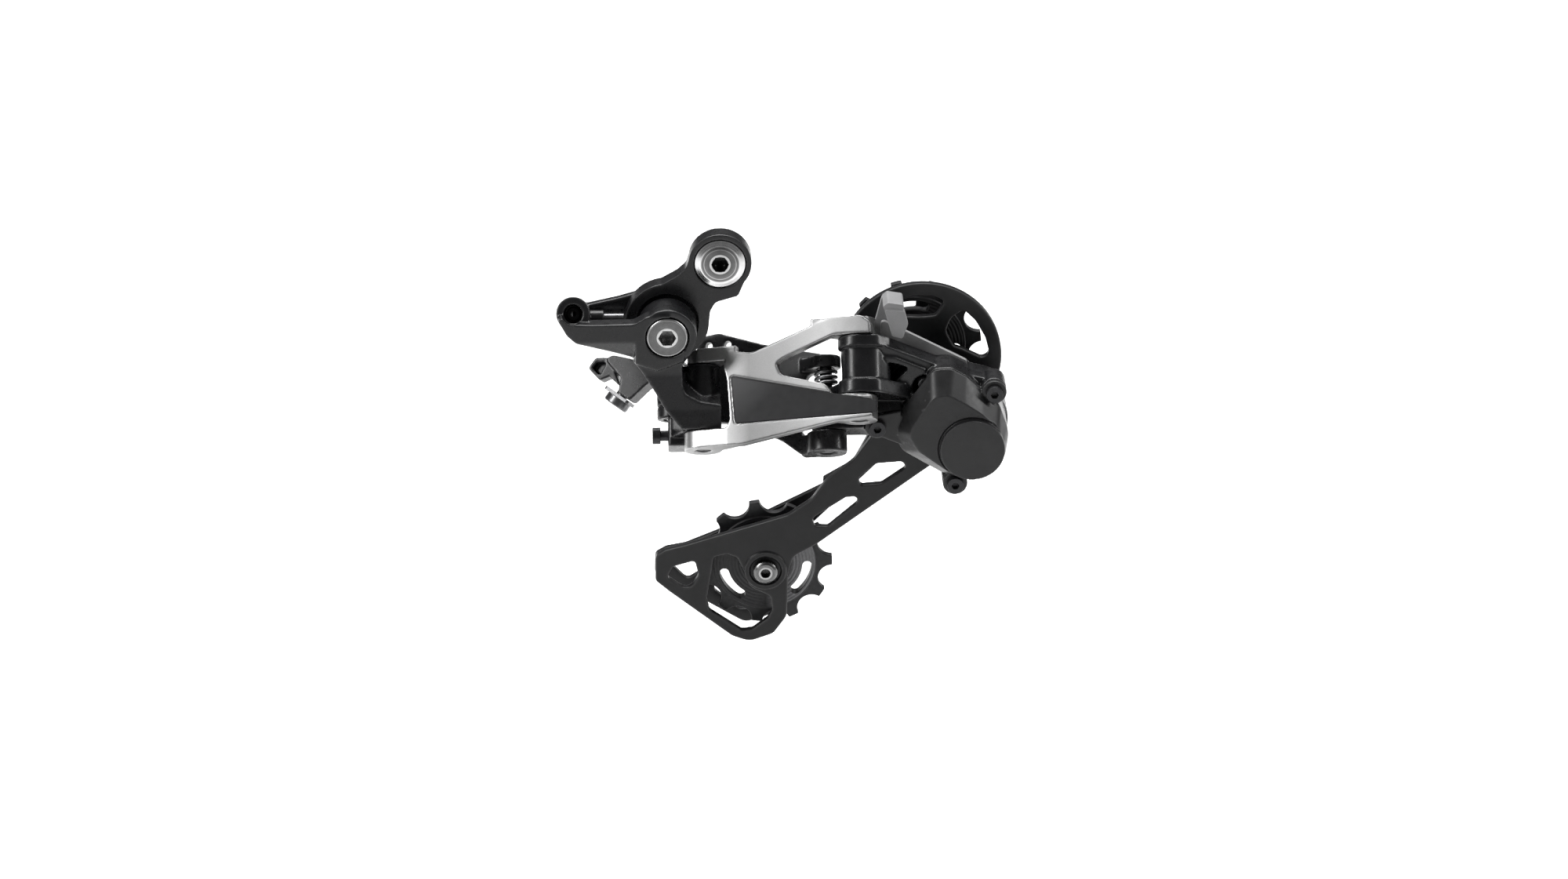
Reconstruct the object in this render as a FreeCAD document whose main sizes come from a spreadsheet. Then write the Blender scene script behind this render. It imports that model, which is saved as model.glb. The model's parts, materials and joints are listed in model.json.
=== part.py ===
"""Rear bicycle derailleur: long-cage, clutch type, with a slanted parallelogram.

Units are millimetres. The origin is on the hanger bolt's axis, at the frame hanger's outer face.
+X points forward along the bicycle, +Y inboard towards the wheel, and +Z up.
The link pins are not upright: they lean inboard by the slant angle. A piece that belongs to the
parallelogram is drawn in the slanted frame, whose z runs along the pins, whose x is the row's X
and whose y points inboard and down.
"""
import FreeCAD, Part
import math
import os
import re

import Sketcher
from FreeCAD import Placement, Rotation, Vector

doc = FreeCAD.newDocument("RearDerailleur")
sheet = doc.addObject("Spreadsheet::Sheet", "Dims")

DIMENSIONS = {
    "fit": 0.05,
    "side_gap": 0.25,
    "slant": 38.0,
    # hanger bolt and bracket link
    "hanger_thread_radius": 5.0,
    "hanger_thread_length": 8.5,
    "hanger_head_radius": 8.1,
    "hanger_head_bevel": 6.2,
    "hanger_head_height": 1.6,
    "hanger_shoulder_radius": 6.5,
    "hanger_hex_radius": 2.887,
    "ring_radius": 10.2,
    "bracket_thickness": 6.0,
    "lobe_radius": 13.6,
    "bracket_recess": 1.2,
    # pivot of the body on the bracket link
    "pivot_x": -17.3,
    "pivot_z": -20.6,
    "pivot_boss_radius": 9.5,
    "pivot_boss_front": -17.5,
    "pivot_boss_back": -6.3,
    "pivot_head_radius": 6.7,
    "pivot_head_bevel": 4.1,
    "pivot_head_height": 2.4,
    "pivot_pin_radius": 4.0,
    "pivot_thread_radius": 3.5,
    "pivot_bushing_wall": 1.2,
    # arm that takes the cable housing
    "arm_front": -18.0,
    "arm_front_back": -13.0,
    "arm_rear_front": 0.4,
    "arm_rear_back": 3.2,
    "socket_radius": 3.05,
    "socket_depth": 6.0,
    "liner_radius": 2.0,
    "liner_length": 1.2,
    "socket_rim": 5.5,
    "stop_face": -37.5,
    "socket_x": -47.5,
    "socket_y": -14.0,
    "socket_z": -13.4,
    "socket_tilt": 25.0,
    "socket_seam": 20.0,
    "cable_hole_radius": 0.9,
    "screw_y": -3.0,
    "screw_z": -20.0,
    # parallelogram, in the slanted frame
    "outer_pin_x": -6.0,
    "outer_pin_y": 22.5,
    "link_reach_x": 50.3,
    "link_reach_y": -16.05,
    "inner_shift_x": -10.0,
    "inner_shift_y": 14.0,
    "link_pin_radius": 2.0,
    "outer_ear_radius": 6.1,
    "inner_ear_radius": 4.9,
    "outer_wall_front": -6.4,
    "outer_wall_back": -2.9,
    "inner_wall_front": 1.0,
    "inner_wall_back": 4.6,
    "bush_wall": 0.6,
    # outer link heights at the body end and at the cage end
    "outer_low_bottom": -59.6,
    "outer_low_top": -53.6,
    "outer_high_bottom": -31.3,
    "outer_high_top": -26.6,
    "outer_far_low_bottom": -53.6,
    "outer_far_low_top": -45.4,
    "outer_far_high_bottom": -25.9,
    "outer_far_high_top": -19.9,
    # inner link heights at the body end and at the cage end
    "inner_low_bottom": -46.0,
    "inner_low_top": -42.0,
    "inner_high_bottom": -32.0,
    "inner_high_top": -28.0,
    "inner_far_low_bottom": -61.2,
    "inner_far_low_top": -54.4,
    "inner_far_high_bottom": -33.0,
    "inner_far_high_top": -29.0,
    "far_spring_height": 7.0,
    # clutch housing and cage pivot
    "clutch_x": 81.2,
    "clutch_z": -57.3,
    "cover_front": -28.0,
    "cover_plateau": -26.6,
    "cover_base": -20.2,
    "cover_bulge_radius": 10.5,
    "housing_front": -19.4,
    "housing_back": -4.6,
    "housing_floor": 2.0,
    "clutch_cavity_radius": 9.6,
    "lug_radius": 6.5,
    "fin_front": -8.4,
    "fin_back": -6.8,
    "rear_boss_radius": 13.0,
    "rear_boss_back": 4.4,
    "cage_axle_radius": 5.0,
    "roller_radius": 7.2,
    "band_radius": 8.6,
    "cover_bolt_radius": 2.7,
    "cover_bolt_shank": 1.5,
    # lever
    "lever_x": 66.0,
    "lever_z": -38.0,
    "lever_front": -4.0,
    "lever_thickness": 1.5,
    "lever_shaft_radius": 2.2,
    # cage and pulleys
    "cage_front": 5.8,
    "cage_plate": 2.5,
    "cage_inner_front": 17.7,
    "cage_inner_plate": 2.2,
    "guard_x": 66.0,
    "guard_z": -39.4,
    "guard_radius": 26.4,
    "guide_x": 63.5,
    "guide_z": -37.5,
    "tension_x": 14.7,
    "tension_z": -117.6,
    "pulley_middle": 13.0,
    "pulley_tip_radius": 22.6,
    "pulley_seat_radius": 4.85,
    "pulley_seat_circle": 23.5,
    "pulley_tooth_width": 2.4,
    "pulley_disc_radius": 17.3,
    "pulley_disc_width": 3.6,
    "pulley_hub_radius": 7.0,
    "pulley_hub_width": 6.4,
    "pulley_bore_radius": 4.2,
    "pulley_bolt_radius": 2.5,
    "pulley_bolt_head": 4.0,
    "pulley_sleeve_wall": 1.2,
    "teeth": 11,
}


def fill_sheet():
    """One row per dimension: its name, and its value under an alias of the same name."""
    for row, (alias, number) in enumerate(DIMENSIONS.items(), start=1):
        sheet.set("A%d" % row, alias)
        sheet.set("B%d" % row, str(number))
        sheet.setAlias("B%d" % row, alias)
    doc.recompute()


fill_sheet()


def mm(alias):
    """The value that the sheet holds for a dimension."""
    return float(sheet.get(alias))


def formula(text):
    """An expression for the document, in which each dimension's name reads its cell."""
    return re.sub(r"[a-z][a-z_]*", lambda word: "Dims." + word.group(), str(text))


def number(text):
    """The value of a sum of dimensions and plain numbers, such as 'fit + 2'."""
    total = 0.0
    sign = 1.0
    for word in str(text).split():
        if word in ("+", "-"):
            sign = 1.0 if word == "+" else -1.0
        else:
            total += sign * (mm(word) if word in DIMENSIONS else float(word))
            sign = 1.0
    return total


# ---------------------------------------------------------------- frames

SLANT = Rotation(Vector(1, 0, 0), -mm("slant"))
FRONT = Rotation(Vector(1, 0, 0), 90)
INBOARD = Rotation(Vector(1, 0, 0), -90)
SIDE = Rotation(Vector(0, 1, 0), 90) * Rotation(Vector(0, 0, 1), 90)
LINK_ANGLE = math.degrees(math.atan2(mm("link_reach_y"), mm("link_reach_x")))
LINK_LENGTH = math.hypot(mm("link_reach_x"), mm("link_reach_y"))
OUTER_PIN = Vector(mm("outer_pin_x"), mm("outer_pin_y"), 0)
REACH = Vector(mm("link_reach_x"), mm("link_reach_y"), 0)
INNER_SHIFT = Vector(mm("inner_shift_x"), mm("inner_shift_y"), 0)
INNER_PIN = OUTER_PIN + INNER_SHIFT
OUTER_FAR_PIN = OUTER_PIN + REACH
INNER_FAR_PIN = INNER_PIN + REACH


def slanted(spot=Vector(0, 0, 0), turn=0.0):
    """The slanted frame, moved to a spot given in it and turned about its own z."""
    base = SLANT.multVec(spot)
    return Placement(base, SLANT * Rotation(Vector(0, 0, 1), turn))


def outer_frame():
    """Frame of the outer link: x from its body pin to its cage pin, y inboard, z along the pins."""
    return slanted(OUTER_PIN, LINK_ANGLE)


def inner_frame():
    """Frame of the inner link, parallel to the outer link's."""
    return slanted(INNER_PIN, LINK_ANGLE)


def inboard(x, y, z):
    """A frame at a point whose z runs inboard, along +Y."""
    return Placement(Vector(x, y, z), INBOARD)


# ---------------------------------------------------------------- building blocks

made = {"count": 0}
pieces = []


def fresh(kind, name):
    """A new object of the document, with a number that keeps its name unique."""
    made["count"] += 1
    return doc.addObject(kind, "%s_%d" % (name, made["count"]))


def rounded_edges(points):
    """Lines and tangent arcs through corners given as (x, y) or (x, y, corner radius)."""
    total = len(points)
    corners = []
    for index, point in enumerate(points):
        here = Vector(point[0], point[1], 0)
        radius = point[2] if len(point) > 2 else 0.0
        before = Vector(*points[index - 1][:2], 0) - here
        after = Vector(*points[(index + 1) % total][:2], 0) - here
        if radius <= 0:
            corners.append((here, None, here))
            continue
        half = before.getAngle(after) / 2
        room = 0.49 * min(before.Length, after.Length)
        back = min(radius / math.tan(half), room)
        radius = back * math.tan(half)
        start = here + before.normalize() * back
        end = here + after.normalize() * back
        towards = (start + end) * 0.5 - here
        middle = here + towards.normalize() * (radius / math.sin(half) - radius)
        corners.append((start, middle, end))
    edges = []
    for index, (start, middle, end) in enumerate(corners):
        if middle is not None:
            edges.append(Part.Arc(start, middle, end))
        following = corners[(index + 1) % total][0]
        if (following - end).Length > 1e-6:
            edges.append(Part.LineSegment(end, following))
    return edges


def outline(name, points, place):
    """A sketch of a closed outline, laid in a plane."""
    sketch = fresh("Sketcher::SketchObject", name + "_outline")
    sketch.addGeometry(rounded_edges(points))
    sketch.Placement = place
    return sketch


def extrude(name, points, place, height):
    """A solid of an outline, raised along its plane's z by a height given as an expression."""
    solid = fresh("Part::Extrusion", name)
    solid.Base = outline(name, points, place)
    solid.DirMode = "Normal"
    solid.Solid = True
    solid.setExpression("LengthFwd", formula(height))
    return solid


def slab(name, points, front, back):
    """A plate seen from the front, whose outline is in X and Z, between two values of Y."""
    place = Placement(Vector(0, number(back), 0), FRONT)
    return extrude(name, points, place, "(%s) - (%s)" % (back, front))


def prism(name, points, left, right):
    """A solid seen from the side, whose outline is in Y and Z, between two values of X."""
    return extrude(name, points, Placement(Vector(left, 0, 0), SIDE), right - left)


def layer(name, points, bottom, top, frame=None):
    """A plate square to the link pins, whose outline is in a slanted frame's x and y."""
    frame = frame or slanted()
    place = frame * Placement(Vector(0, 0, number(bottom)), Rotation())
    return extrude(name, points, place, "(%s) - (%s)" % (top, bottom))


def wall(name, points, front, back, frame):
    """A plate along a link, whose outline is in its frame's x and z, between two values of y."""
    place = frame * Placement(Vector(0, number(back), 0), FRONT)
    return extrude(name, points, place, "(%s) - (%s)" % (back, front))


def drum(name, radius, length, place):
    """A cylinder whose radius and length are expressions."""
    solid = fresh("Part::Cylinder", name)
    solid.setExpression("Radius", formula(radius))
    solid.setExpression("Height", formula(length))
    solid.Placement = place
    return solid


def post(name, radius, spot, bottom, top):
    """A cylinder along the link pins, between two heights of the slanted frame."""
    place = slanted(Vector(spot.x, spot.y, number(bottom)))
    return drum(name, radius, "(%s) - (%s)" % (top, bottom), place)


def barrel(name, radius, x, z, front, back):
    """A cylinder along Y, between two values of Y."""
    return drum(name, radius, "(%s) - (%s)" % (back, front), inboard(x, number(front), z))


def taper(name, radius_low, radius_high, height, place):
    """A cone whose two radii and height are expressions."""
    solid = fresh("Part::Cone", name)
    solid.setExpression("Radius1", formula(radius_low))
    solid.setExpression("Radius2", formula(radius_high))
    solid.setExpression("Height", formula(height))
    solid.Placement = place
    return solid


def fuse(name, solids, refine=True):
    """The union of several solids, with split faces merged unless refine is off."""
    whole = fresh("Part::MultiFuse", name)
    whole.Shapes = solids
    whole.Refine = refine
    return whole


def cut(name, base, tools, refine=True):
    """A solid less one or more tools."""
    result = fresh("Part::Cut", name)
    result.Base = base
    result.Tool = tools[0] if len(tools) == 1 else fuse(name + "_tools", tools)
    result.Refine = refine
    return result


def common(name, first, second):
    """What two solids share."""
    result = fresh("Part::MultiCommon", name)
    result.Shapes = [first, second]
    result.Refine = True
    return result


def piece(label, solid, place=None):
    """Registers a finished sub-part under its node's name."""
    if place is not None:
        solid.Placement = place
    solid.Label = label
    pieces.append(solid)
    return solid


def turned(label, steps, place, socket=None, bore=None):
    """A turned piece: steps of (first radius, last radius, length) stacked along z.

    A socket is (hexagon's corner radius, depth) at the first end, and a bore a radius right through.
    """
    solids = []
    height = "0"
    for first, last, length in steps:
        at = Placement(Vector(0, 0, number(height)), Rotation())
        if first == last:
            solids.append(drum(label, first, length, at))
        else:
            solids.append(taper(label, first, last, length, at))
        height = "%s + %s" % (height, length)
    result = solids[0] if len(solids) == 1 else fuse(label, solids)
    tools = []
    if socket:
        hexagon = fresh("Part::Prism", label + "_hex")
        hexagon.Polygon = 6
        hexagon.setExpression("Circumradius", formula(socket[0]))
        hexagon.setExpression("Height", formula(socket[1]))
        tools.append(hexagon)
    if bore:
        tools.append(drum(label + "_bore", bore, height, Placement()))
    if tools:
        result = cut(label, result, tools)
    return piece(label, result, place)


def ring(label, outer, inner, length, place):
    """A plain ring, sleeve or washer."""
    body = drum(label, outer, length, Placement())
    hole = drum(label + "_hole", inner, length, Placement())
    return piece(label, cut(label, body, [hole]), place)


def coil(label, radius, wire, turns, pitch, place):
    """A coil spring of round wire, as a swept helix with both ends cut square."""
    path = Part.makeHelix(pitch, pitch * turns, radius)
    circle = Part.Wire([Part.makeCircle(wire, Vector(radius, 0, 0), Vector(0, 1, 0))])
    sweep = Part.Wire(path.Edges).makePipeShell([circle], True, True)
    spring = doc.addObject("Part::Feature", label)
    spring.Shape = sweep
    spring.Placement = place
    spring.Label = label
    pieces.append(spring)
    return spring


# ---------------------------------------------------------------- bracket link and its bolts

def bracket_link():
    """The short link between the frame hanger and the body, with its stop finger."""
    thickness = "bracket_thickness"
    eye = barrel("bracket_eye", "ring_radius", 0, 0, "0 - " + thickness, "0")
    lobe = barrel("bracket_lobe", "lobe_radius", mm("pivot_x"), mm("pivot_z"), "0 - " + thickness, "0")
    neck_points = [
        (-10.1, 1.5), (-11.0, -1.5, 4), (-14.0, -4.2, 5), (-22.0, -8.8), (-26.5, -12.6, 1.6),
        (-27.8, -15.0, 1.6),
        (-25.4, -16.4, 1.4), (-17.0, -21.0), (-3.7, -21.0), (-3.3, -16.8, 3), (-1.6, -13.6, 3),
        (5.8, -11.4, 1.5),
        (8.0, -6.0, 6), (9.9, 1.5),
    ]
    neck = slab("bracket_neck", neck_points, "0 - " + thickness, "0")
    finger_points = [(-13.5, -6.6), (-27.0, -13.2, 1.2), (-25.4, -16.2, 1.2), (-12.6, -9.6)]
    finger = slab("bracket_finger", finger_points, "-6.0", "-1.0")
    whole = fuse("bracket_link", [eye, lobe, neck, finger])
    seat = barrel("bracket_seat", "hanger_head_radius + 0.35", 0, 0, "-6.5", "-4.9")
    bore = barrel("bracket_bore", "hanger_shoulder_radius + fit", 0, 0, "-7", "1")
    thread = barrel("bracket_thread", "pivot_thread_radius + fit", mm("pivot_x"), mm("pivot_z"), "-8",
                    "1")
    relief = barrel("bracket_relief", "pivot_boss_radius + 0.6", mm("pivot_x"), mm("pivot_z"), "-7",
                    "bracket_recess - 6.0")
    piece("bracket_link", cut("bracket_link", whole, [seat, bore, thread, relief]))


def hanger_bolt():
    """The bolt that holds the derailleur on the frame hanger."""
    steps = [
        ("hanger_head_bevel", "hanger_head_radius", "0.7"),
        ("hanger_head_radius", "hanger_head_radius", "0.9"),
        ("hanger_shoulder_radius", "hanger_shoulder_radius", "4.9"),
        ("hanger_thread_radius", "hanger_thread_radius", "hanger_thread_length"),
    ]
    turned("hanger_bolt", steps, inboard(0, -6.5, 0), socket=("hanger_hex_radius", "5.0"))


def pivot_bolt():
    """The axle bolt on which the body swings; it screws into the bracket link's lobe."""
    steps = [
        ("pivot_head_radius - 0.4", "pivot_head_radius", "0.4"),
        ("pivot_head_radius", "pivot_head_radius", "pivot_head_height - 0.4"),
        ("pivot_pin_radius", "pivot_pin_radius", "10.75"),
        ("pivot_thread_radius", "pivot_thread_radius", "4.6"),
    ]
    turned("pivot_bolt", steps, inboard(mm("pivot_x"), -18.0, mm("pivot_z")),
           socket=("hanger_hex_radius", "4.5"))


def pivot_bushing():
    """Plastic sleeve pressed into the body, on which the axle bolt runs."""
    place = inboard(mm("pivot_x"), -15.2, mm("pivot_z"))
    ring("pivot_bushing", "pivot_pin_radius + pivot_bushing_wall", "pivot_pin_radius + fit", "4.0",
         place)


def pivot_spring():
    """Torsion spring round the axle, which holds the body against its stop."""
    coil("pivot_spring", 5.6, 0.7, 2.5, 1.3, inboard(mm("pivot_x"), -9.75, mm("pivot_z")))


# ---------------------------------------------------------------- body (upper knuckle)

def socket_place(depth):
    """A frame on the housing socket's axis, a depth behind its mouth, whose z runs inwards."""
    turn = Rotation(Vector(1, 0, 0), -90 - mm("socket_tilt")) * Rotation(Vector(0, 0, 1), mm("socket_seam"))
    base = Vector(mm("socket_x"), mm("socket_y"), mm("socket_z"))
    return Placement(base + turn.multVec(Vector(0, 0, depth)), turn)


def screw_place(x):
    """A frame on the tension screw's axis, whose z runs along +X towards the bracket link."""
    return Placement(Vector(x, mm("screw_y"), mm("screw_z")), SIDE)


def body_arm():
    """The two-walled arm that carries the cable housing socket at its end."""
    front_points = [
        (-52.6, -14.0, 1), (-49.5, -19.8, 3), (-46.5, -22.6, 3), (-36.1, -26.4), (-28.4, -29.4),
        (-20.8, -32.4),
        (-12.0, -29.0), (-12.0, -22.0), (-17.0, -12.6), (-24.0, -13.2, 3), (-28.0, -15.7, 3),
        (-42.0, -15.9),
        (-47.0, -15.6), (-50.0, -13.0, 2),
    ]
    front = slab("arm_front", front_points, "arm_front", "arm_front_back")
    bevel_points = [(-18.6, -18.0), (-18.6, -34.0), (-12.0, -34.0), (-14.6, -27.5), (-18.0, -22.0)]
    bevel = prism("arm_bevel", bevel_points, -54, -27.6)
    rear_points = [
        (-43.0, -16.9, 1), (-33.0, -14.6), (-25.3, -12.3, 2), (-21.5, -9.9, 2), (-17.5, -9.4, 5),
        (-8.5, -13.5, 6),
        (-5.5, -22.0, 6), (-8.5, -33.5, 3), (-14.0, -38.5), (-24.0, -38.5, 4), (-30.0, -30.0, 5),
        (-34.0, -22.5, 4),
        (-47.5, -20.4, 2),
    ]
    rear = slab("arm_rear", rear_points, "arm_rear_front", "arm_rear_back")
    end_points = [
        (-51.6, -16.6, 1.5), (-48.6, -21.2, 2), (-43.0, -23.0), (-42.6, -17.0), (-47.0, -16.2),
    ]
    end = slab("arm_end", end_points, "-14.5", "arm_rear_back")
    eye = drum("socket_rim", "socket_rim", "9.5", socket_place(0.0))
    screw_boss = drum("screw_boss", "2.7", "8.0", screw_place(-45.6))
    return [cut("arm_front", front, [bevel]), rear, end, eye, screw_boss]


def body_core():
    """The solid under the axle boss, down to the outer link's barrel."""
    front_points = [
        (-27.0, -24.0), (-28.4, -29.4), (-25.9, -32.8, 3), (-21.5, -40.0, 8), (-18.0, -46.5, 5),
        (-13.0, -52.5, 6),
        (-5.0, -59.5, 2), (0.0, -59.0), (0.0, -44.5), (-6.5, -43.5, 3), (-12.2, -40.5, 4),
        (-12.6, -31.0, 3),
        (-9.0, -26.0), (-17.0, -20.0),
    ]
    side_points = [
        (-17.0, -20.0), (-8.0, -20.0), (-7.4, -35.0, 1), (-1.0, -36.9, 1), (2.6, -39.6, 1),
        (3.0, -44.8, 2),
        (-6.8, -57.4), (-10.4, -59.6), (-19.8, -52.2), (-18.6, -46.0, 8), (-17.0, -34.0, 8),
    ]
    front = slab("core_front", front_points, "-22", "6")
    side = prism("core_side", side_points, -32, 2)
    return common("body_core", front, side)


def body_pivots():
    """Barrels for the link pins, the web between them and the block for the limit screws."""
    outer = post("outer_barrel", "outer_ear_radius - 0.1", OUTER_PIN, "outer_low_top + side_gap",
                 "outer_high_bottom - side_gap")
    inner = post("inner_barrel", "inner_ear_radius", INNER_PIN, "inner_low_top + side_gap",
                 "inner_high_bottom - side_gap")
    web_points = [(-11.5, 19.5), (-2.5, 25.5), (-11.6, 38.5), (-20.4, 34.5)]
    web = layer("pin_web", web_points, "inner_low_top + side_gap", "inner_high_bottom - side_gap - 1.0")
    block_points = [
        (-17.4, 29.4, 0.8), (-12.9, 29.4), (-9.5, 29.4, 0.8), (-9.5, 41.0, 1), (-17.4, 41.0, 1),
    ]
    block = layer("stop_block", block_points, "-56.0", "inner_low_bottom - side_gap - 0.2")
    bridge_points = [(-12.6, 20.5), (-2.0, 24.5), (-10.0, 33.0), (-17.2, 32.0)]
    bridge = layer("stop_bridge", bridge_points, "outer_low_top + side_gap",
                   "inner_low_bottom - side_gap - 0.2")
    return [outer, inner, web, block, bridge]


LIMIT_SCREWS = {"limit_screw_high": Vector(-17.4, 32.7, -52.1),
                "limit_screw_low": Vector(-17.4, 38.2, -50.9)}


def body():
    """The upper knuckle, which the links hang from, and the housing stop on the end of its arm."""
    boss = barrel("pivot_boss", "pivot_boss_radius", mm("pivot_x"), mm("pivot_z"), "pivot_boss_front",
                  "pivot_boss_back - 0.9")
    whole = fuse("body", [boss, body_core()] + body_arm() + body_pivots())
    x, z = mm("pivot_x"), mm("pivot_z")
    tools = [
        barrel("head_seat", "pivot_head_radius + 0.3", x, z, "-18.5", "-15.5"),
        barrel("bushing_bore", "pivot_pin_radius + pivot_bushing_wall + fit", x, z, "-16", "-5"),
        barrel("spring_bore", "6.8", x, z, "-11.4", "-5"),
        barrel("rear_bore", "pivot_thread_radius + 0.6", x, z, "0", "5"),
        post("outer_bore", "link_pin_radius + fit", OUTER_PIN, "outer_low_bottom", "outer_high_top"),
        post("inner_bore", "link_pin_radius + fit", INNER_PIN, "inner_low_bottom + 1",
             "inner_high_top"),
        drum("socket_bore", "socket_radius", "socket_depth", socket_place(0.0)),
        drum("socket_entry", "socket_radius + 0.6", "9", socket_place(-9.0)),
        drum("liner_bore", "liner_radius + fit", "socket_depth + liner_length", socket_place(0.0)),
        drum("cable_bore", "cable_hole_radius + 0.3", "14", socket_place(1.0)),
        drum("tension_bore", "1.55", "20", screw_place(-46.0)),
        drum("tension_head_room", "2.7", "10", screw_place(-55.65)),
        post("ear_room", "outer_ear_radius - 0.9", OUTER_PIN, "outer_high_bottom - side_gap",
             "outer_high_top + 0.3"),
        barrel("lobe_room", "lobe_radius + 0.5", x, z, "pivot_boss_back - 0.05", "0.3"),
    ]
    for spot in LIMIT_SCREWS.values():
        place = slanted(spot + Vector(-1, 0, 0)) * Placement(Vector(), Rotation(Vector(0, 1, 0), 90))
        tools.append(drum("limit_bore", "1.75", "12", place))
    casting = cut("upper_casting", whole, tools)
    face = mm("stop_face")
    for label, left, right in (("body", face, face + 60), ("housing_stop", face - 20, face)):
        side = prism(label + "_side", [(-40, -80), (40, -80), (40, 20), (-40, 20)], left, right)
        piece(label, common(label, casting, side))


def screws():
    """The two limit screws and the tension screw, each a turned screw with a slotted or hexagon head."""
    steps = [("2.7", "2.7", "2.6"), ("1.7", "1.7", "11.0")]
    for label, spot in LIMIT_SCREWS.items():
        place = slanted(spot + Vector(-5.1, 0, 0)) * Placement(Vector(), Rotation(Vector(0, 1, 0), 90))
        turned(label, steps, place, socket=("1.15", "1.4"))
    steps = [("2.4", "2.4", "2.2"), ("1.5", "1.5", "14.4")]
    turned("tension_screw", steps, screw_place(-47.9), socket=("1.15", "1.2"))


def housing_ferrule():
    """Plastic liner behind the bottom of the cable housing socket, which guides the bare cable."""
    ring("housing_liner", "liner_radius", "cable_hole_radius", "liner_length",
         socket_place(mm("socket_depth")))


# ---------------------------------------------------------------- links

def outer_link():
    """The outboard link: a wall with a triangular window, a clevis at each end and a sunk panel."""
    frame = outer_frame()
    far = LINK_LENGTH
    wall_points = [
        (11.5, -28.4), (19.0, -29.4, 6), (24.0, -27.6, 6), (45.0, -19.9, 4), (far + 3.0, -19.9, 3),
        (far + 6.1, -22.4, 2),
        (far + 6.1, -25.9), (47.5, -25.3, 3), (30.5, -31.6, 2), (26.8, -33.6, 1.6),
        (28.6, -37.6, 2.5), (43.5, -41.8, 3),
        (46.0, -45.8, 1.5), (far + 6.1, -46.6), (far + 6.1, -53.6, 1), (46.0, -54.4),
        (30.0, -57.1, 8), (15.0, -59.6, 6),
        (9.6, -59.6, 2), (9.6, -54.0, 2), (11.0, -51.0, 3), (10.2, -38.0, 4), (9.0, -33.0, 3),
    ]
    plate = wall("outer_wall", wall_points, "outer_wall_front", "outer_wall_back", frame)
    near_end = [(0.0, -6.1), (13.5, -6.4), (13.5, -2.9), (7.0, 0.5, 2), (4.0, 4.6, 2), (0.0, 6.1)]
    far_end = [
        (far, -6.1), (far, 6.1), (far - 4.0, 4.6, 2), (far - 9.0, -1.5, 4), (far - 14.0, -2.9),
        (far - 14.0, -6.4),
    ]
    solids = [plate]
    ends = [
        ("low", near_end, OUTER_PIN, "outer_low_bottom", "outer_low_top", "outer_ear_radius"),
        ("high", near_end, OUTER_PIN, "outer_high_bottom", "outer_high_top", "outer_ear_radius - 1.2"),
        ("far_low", far_end, OUTER_FAR_PIN, "outer_far_low_bottom", "outer_far_low_top",
         "outer_ear_radius"),
        ("far_high", far_end, OUTER_FAR_PIN, "outer_far_high_bottom", "outer_far_high_top",
         "outer_ear_radius"),
    ]
    for name, points, spot, bottom, top, radius in ends:
        solids.append(layer("outer_" + name, points, bottom, top, frame))
        solids.append(post("outer_" + name, radius, spot, bottom, top))
    panel_points = [(11.4, -36.4, 1), (far + 8.0, -48.2), (far + 8.0, -52.5), (12.6, -52.6, 1)]
    panel = wall("outer_panel", panel_points, "outer_wall_front - 2", "outer_wall_front + 0.7", frame)
    tools = [panel]
    for spot in (OUTER_PIN, OUTER_FAR_PIN):
        tools.append(post("outer_pin_bore", "link_pin_radius + fit + bush_wall + fit", spot, "-65",
                          "-15"))
    piece("outer_link", cut("outer_link", fuse("outer_link", solids), tools))


def inner_link():
    """The inboard link, with a clevis at each end."""
    frame = inner_frame()
    far = LINK_LENGTH
    wall_points = [
        (7.0, -28.5, 2), (9.5, -18.6, 3), (16.0, -17.7, 3), (30.9, -22.6, 6), (42.0, -25.4),
        (far + 3.0, -28.6, 1),
        (far + 3.0, -33.0), (46.0, -34.0, 3), (43.5, -42.0, 5), (43.5, -54.6, 3), (far + 3.0, -54.6),
        (far + 4.0, -61.2, 1),
        (44.0, -61.0, 6), (37.0, -55.5, 8), (24.0, -49.0, 10), (7.0, -46.5, 2),
    ]
    plate = wall("inner_wall", wall_points, "inner_wall_front", "inner_wall_back", frame)
    solids = [plate]
    near_end = [(0.0, -4.9), (3.0, -3.4, 2), (9.0, 1.0), (9.0, 4.6), (0.0, 4.9)]
    far_end = [(far, -4.9), (far, 4.9), (far - 9.0, 4.6), (far - 9.0, 1.0), (far - 3.0, -3.4, 2)]
    ends = [
        ("low", near_end, INNER_PIN, "inner_low_bottom", "inner_low_top", "inner_ear_radius"),
        ("high", near_end, INNER_PIN, "inner_high_bottom", "inner_high_top", "inner_ear_radius"),
        ("far_low", far_end, INNER_FAR_PIN, "inner_far_low_bottom", "inner_far_low_top",
         "inner_ear_radius + 1.6"),
        ("far_high", far_end, INNER_FAR_PIN, "inner_far_high_bottom", "inner_far_high_top",
         "inner_ear_radius"),
    ]
    for name, points, spot, bottom, top, radius in ends:
        solids.append(layer("inner_" + name, points, bottom, top, frame))
        solids.append(post("inner_" + name, radius, spot, bottom, top))
    tools = []
    for spot in (INNER_PIN, INNER_FAR_PIN):
        tools.append(post("inner_pin_bore", "link_pin_radius + fit + bush_wall + fit", spot, "-65",
                          "-15"))
    for slot_x in (12.5, 19.0):
        slot_points = [
            (slot_x - 1.2, -24.5, 1), (slot_x + 1.2, -24.5, 1), (slot_x + 1.2, -20.5, 1),
            (slot_x - 1.2, -20.5, 1),
        ]
        tools.append(wall("inner_slot", slot_points, "0", "6", frame))
    piece("inner_link", cut("inner_link", fuse("inner_link", solids), tools))


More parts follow.
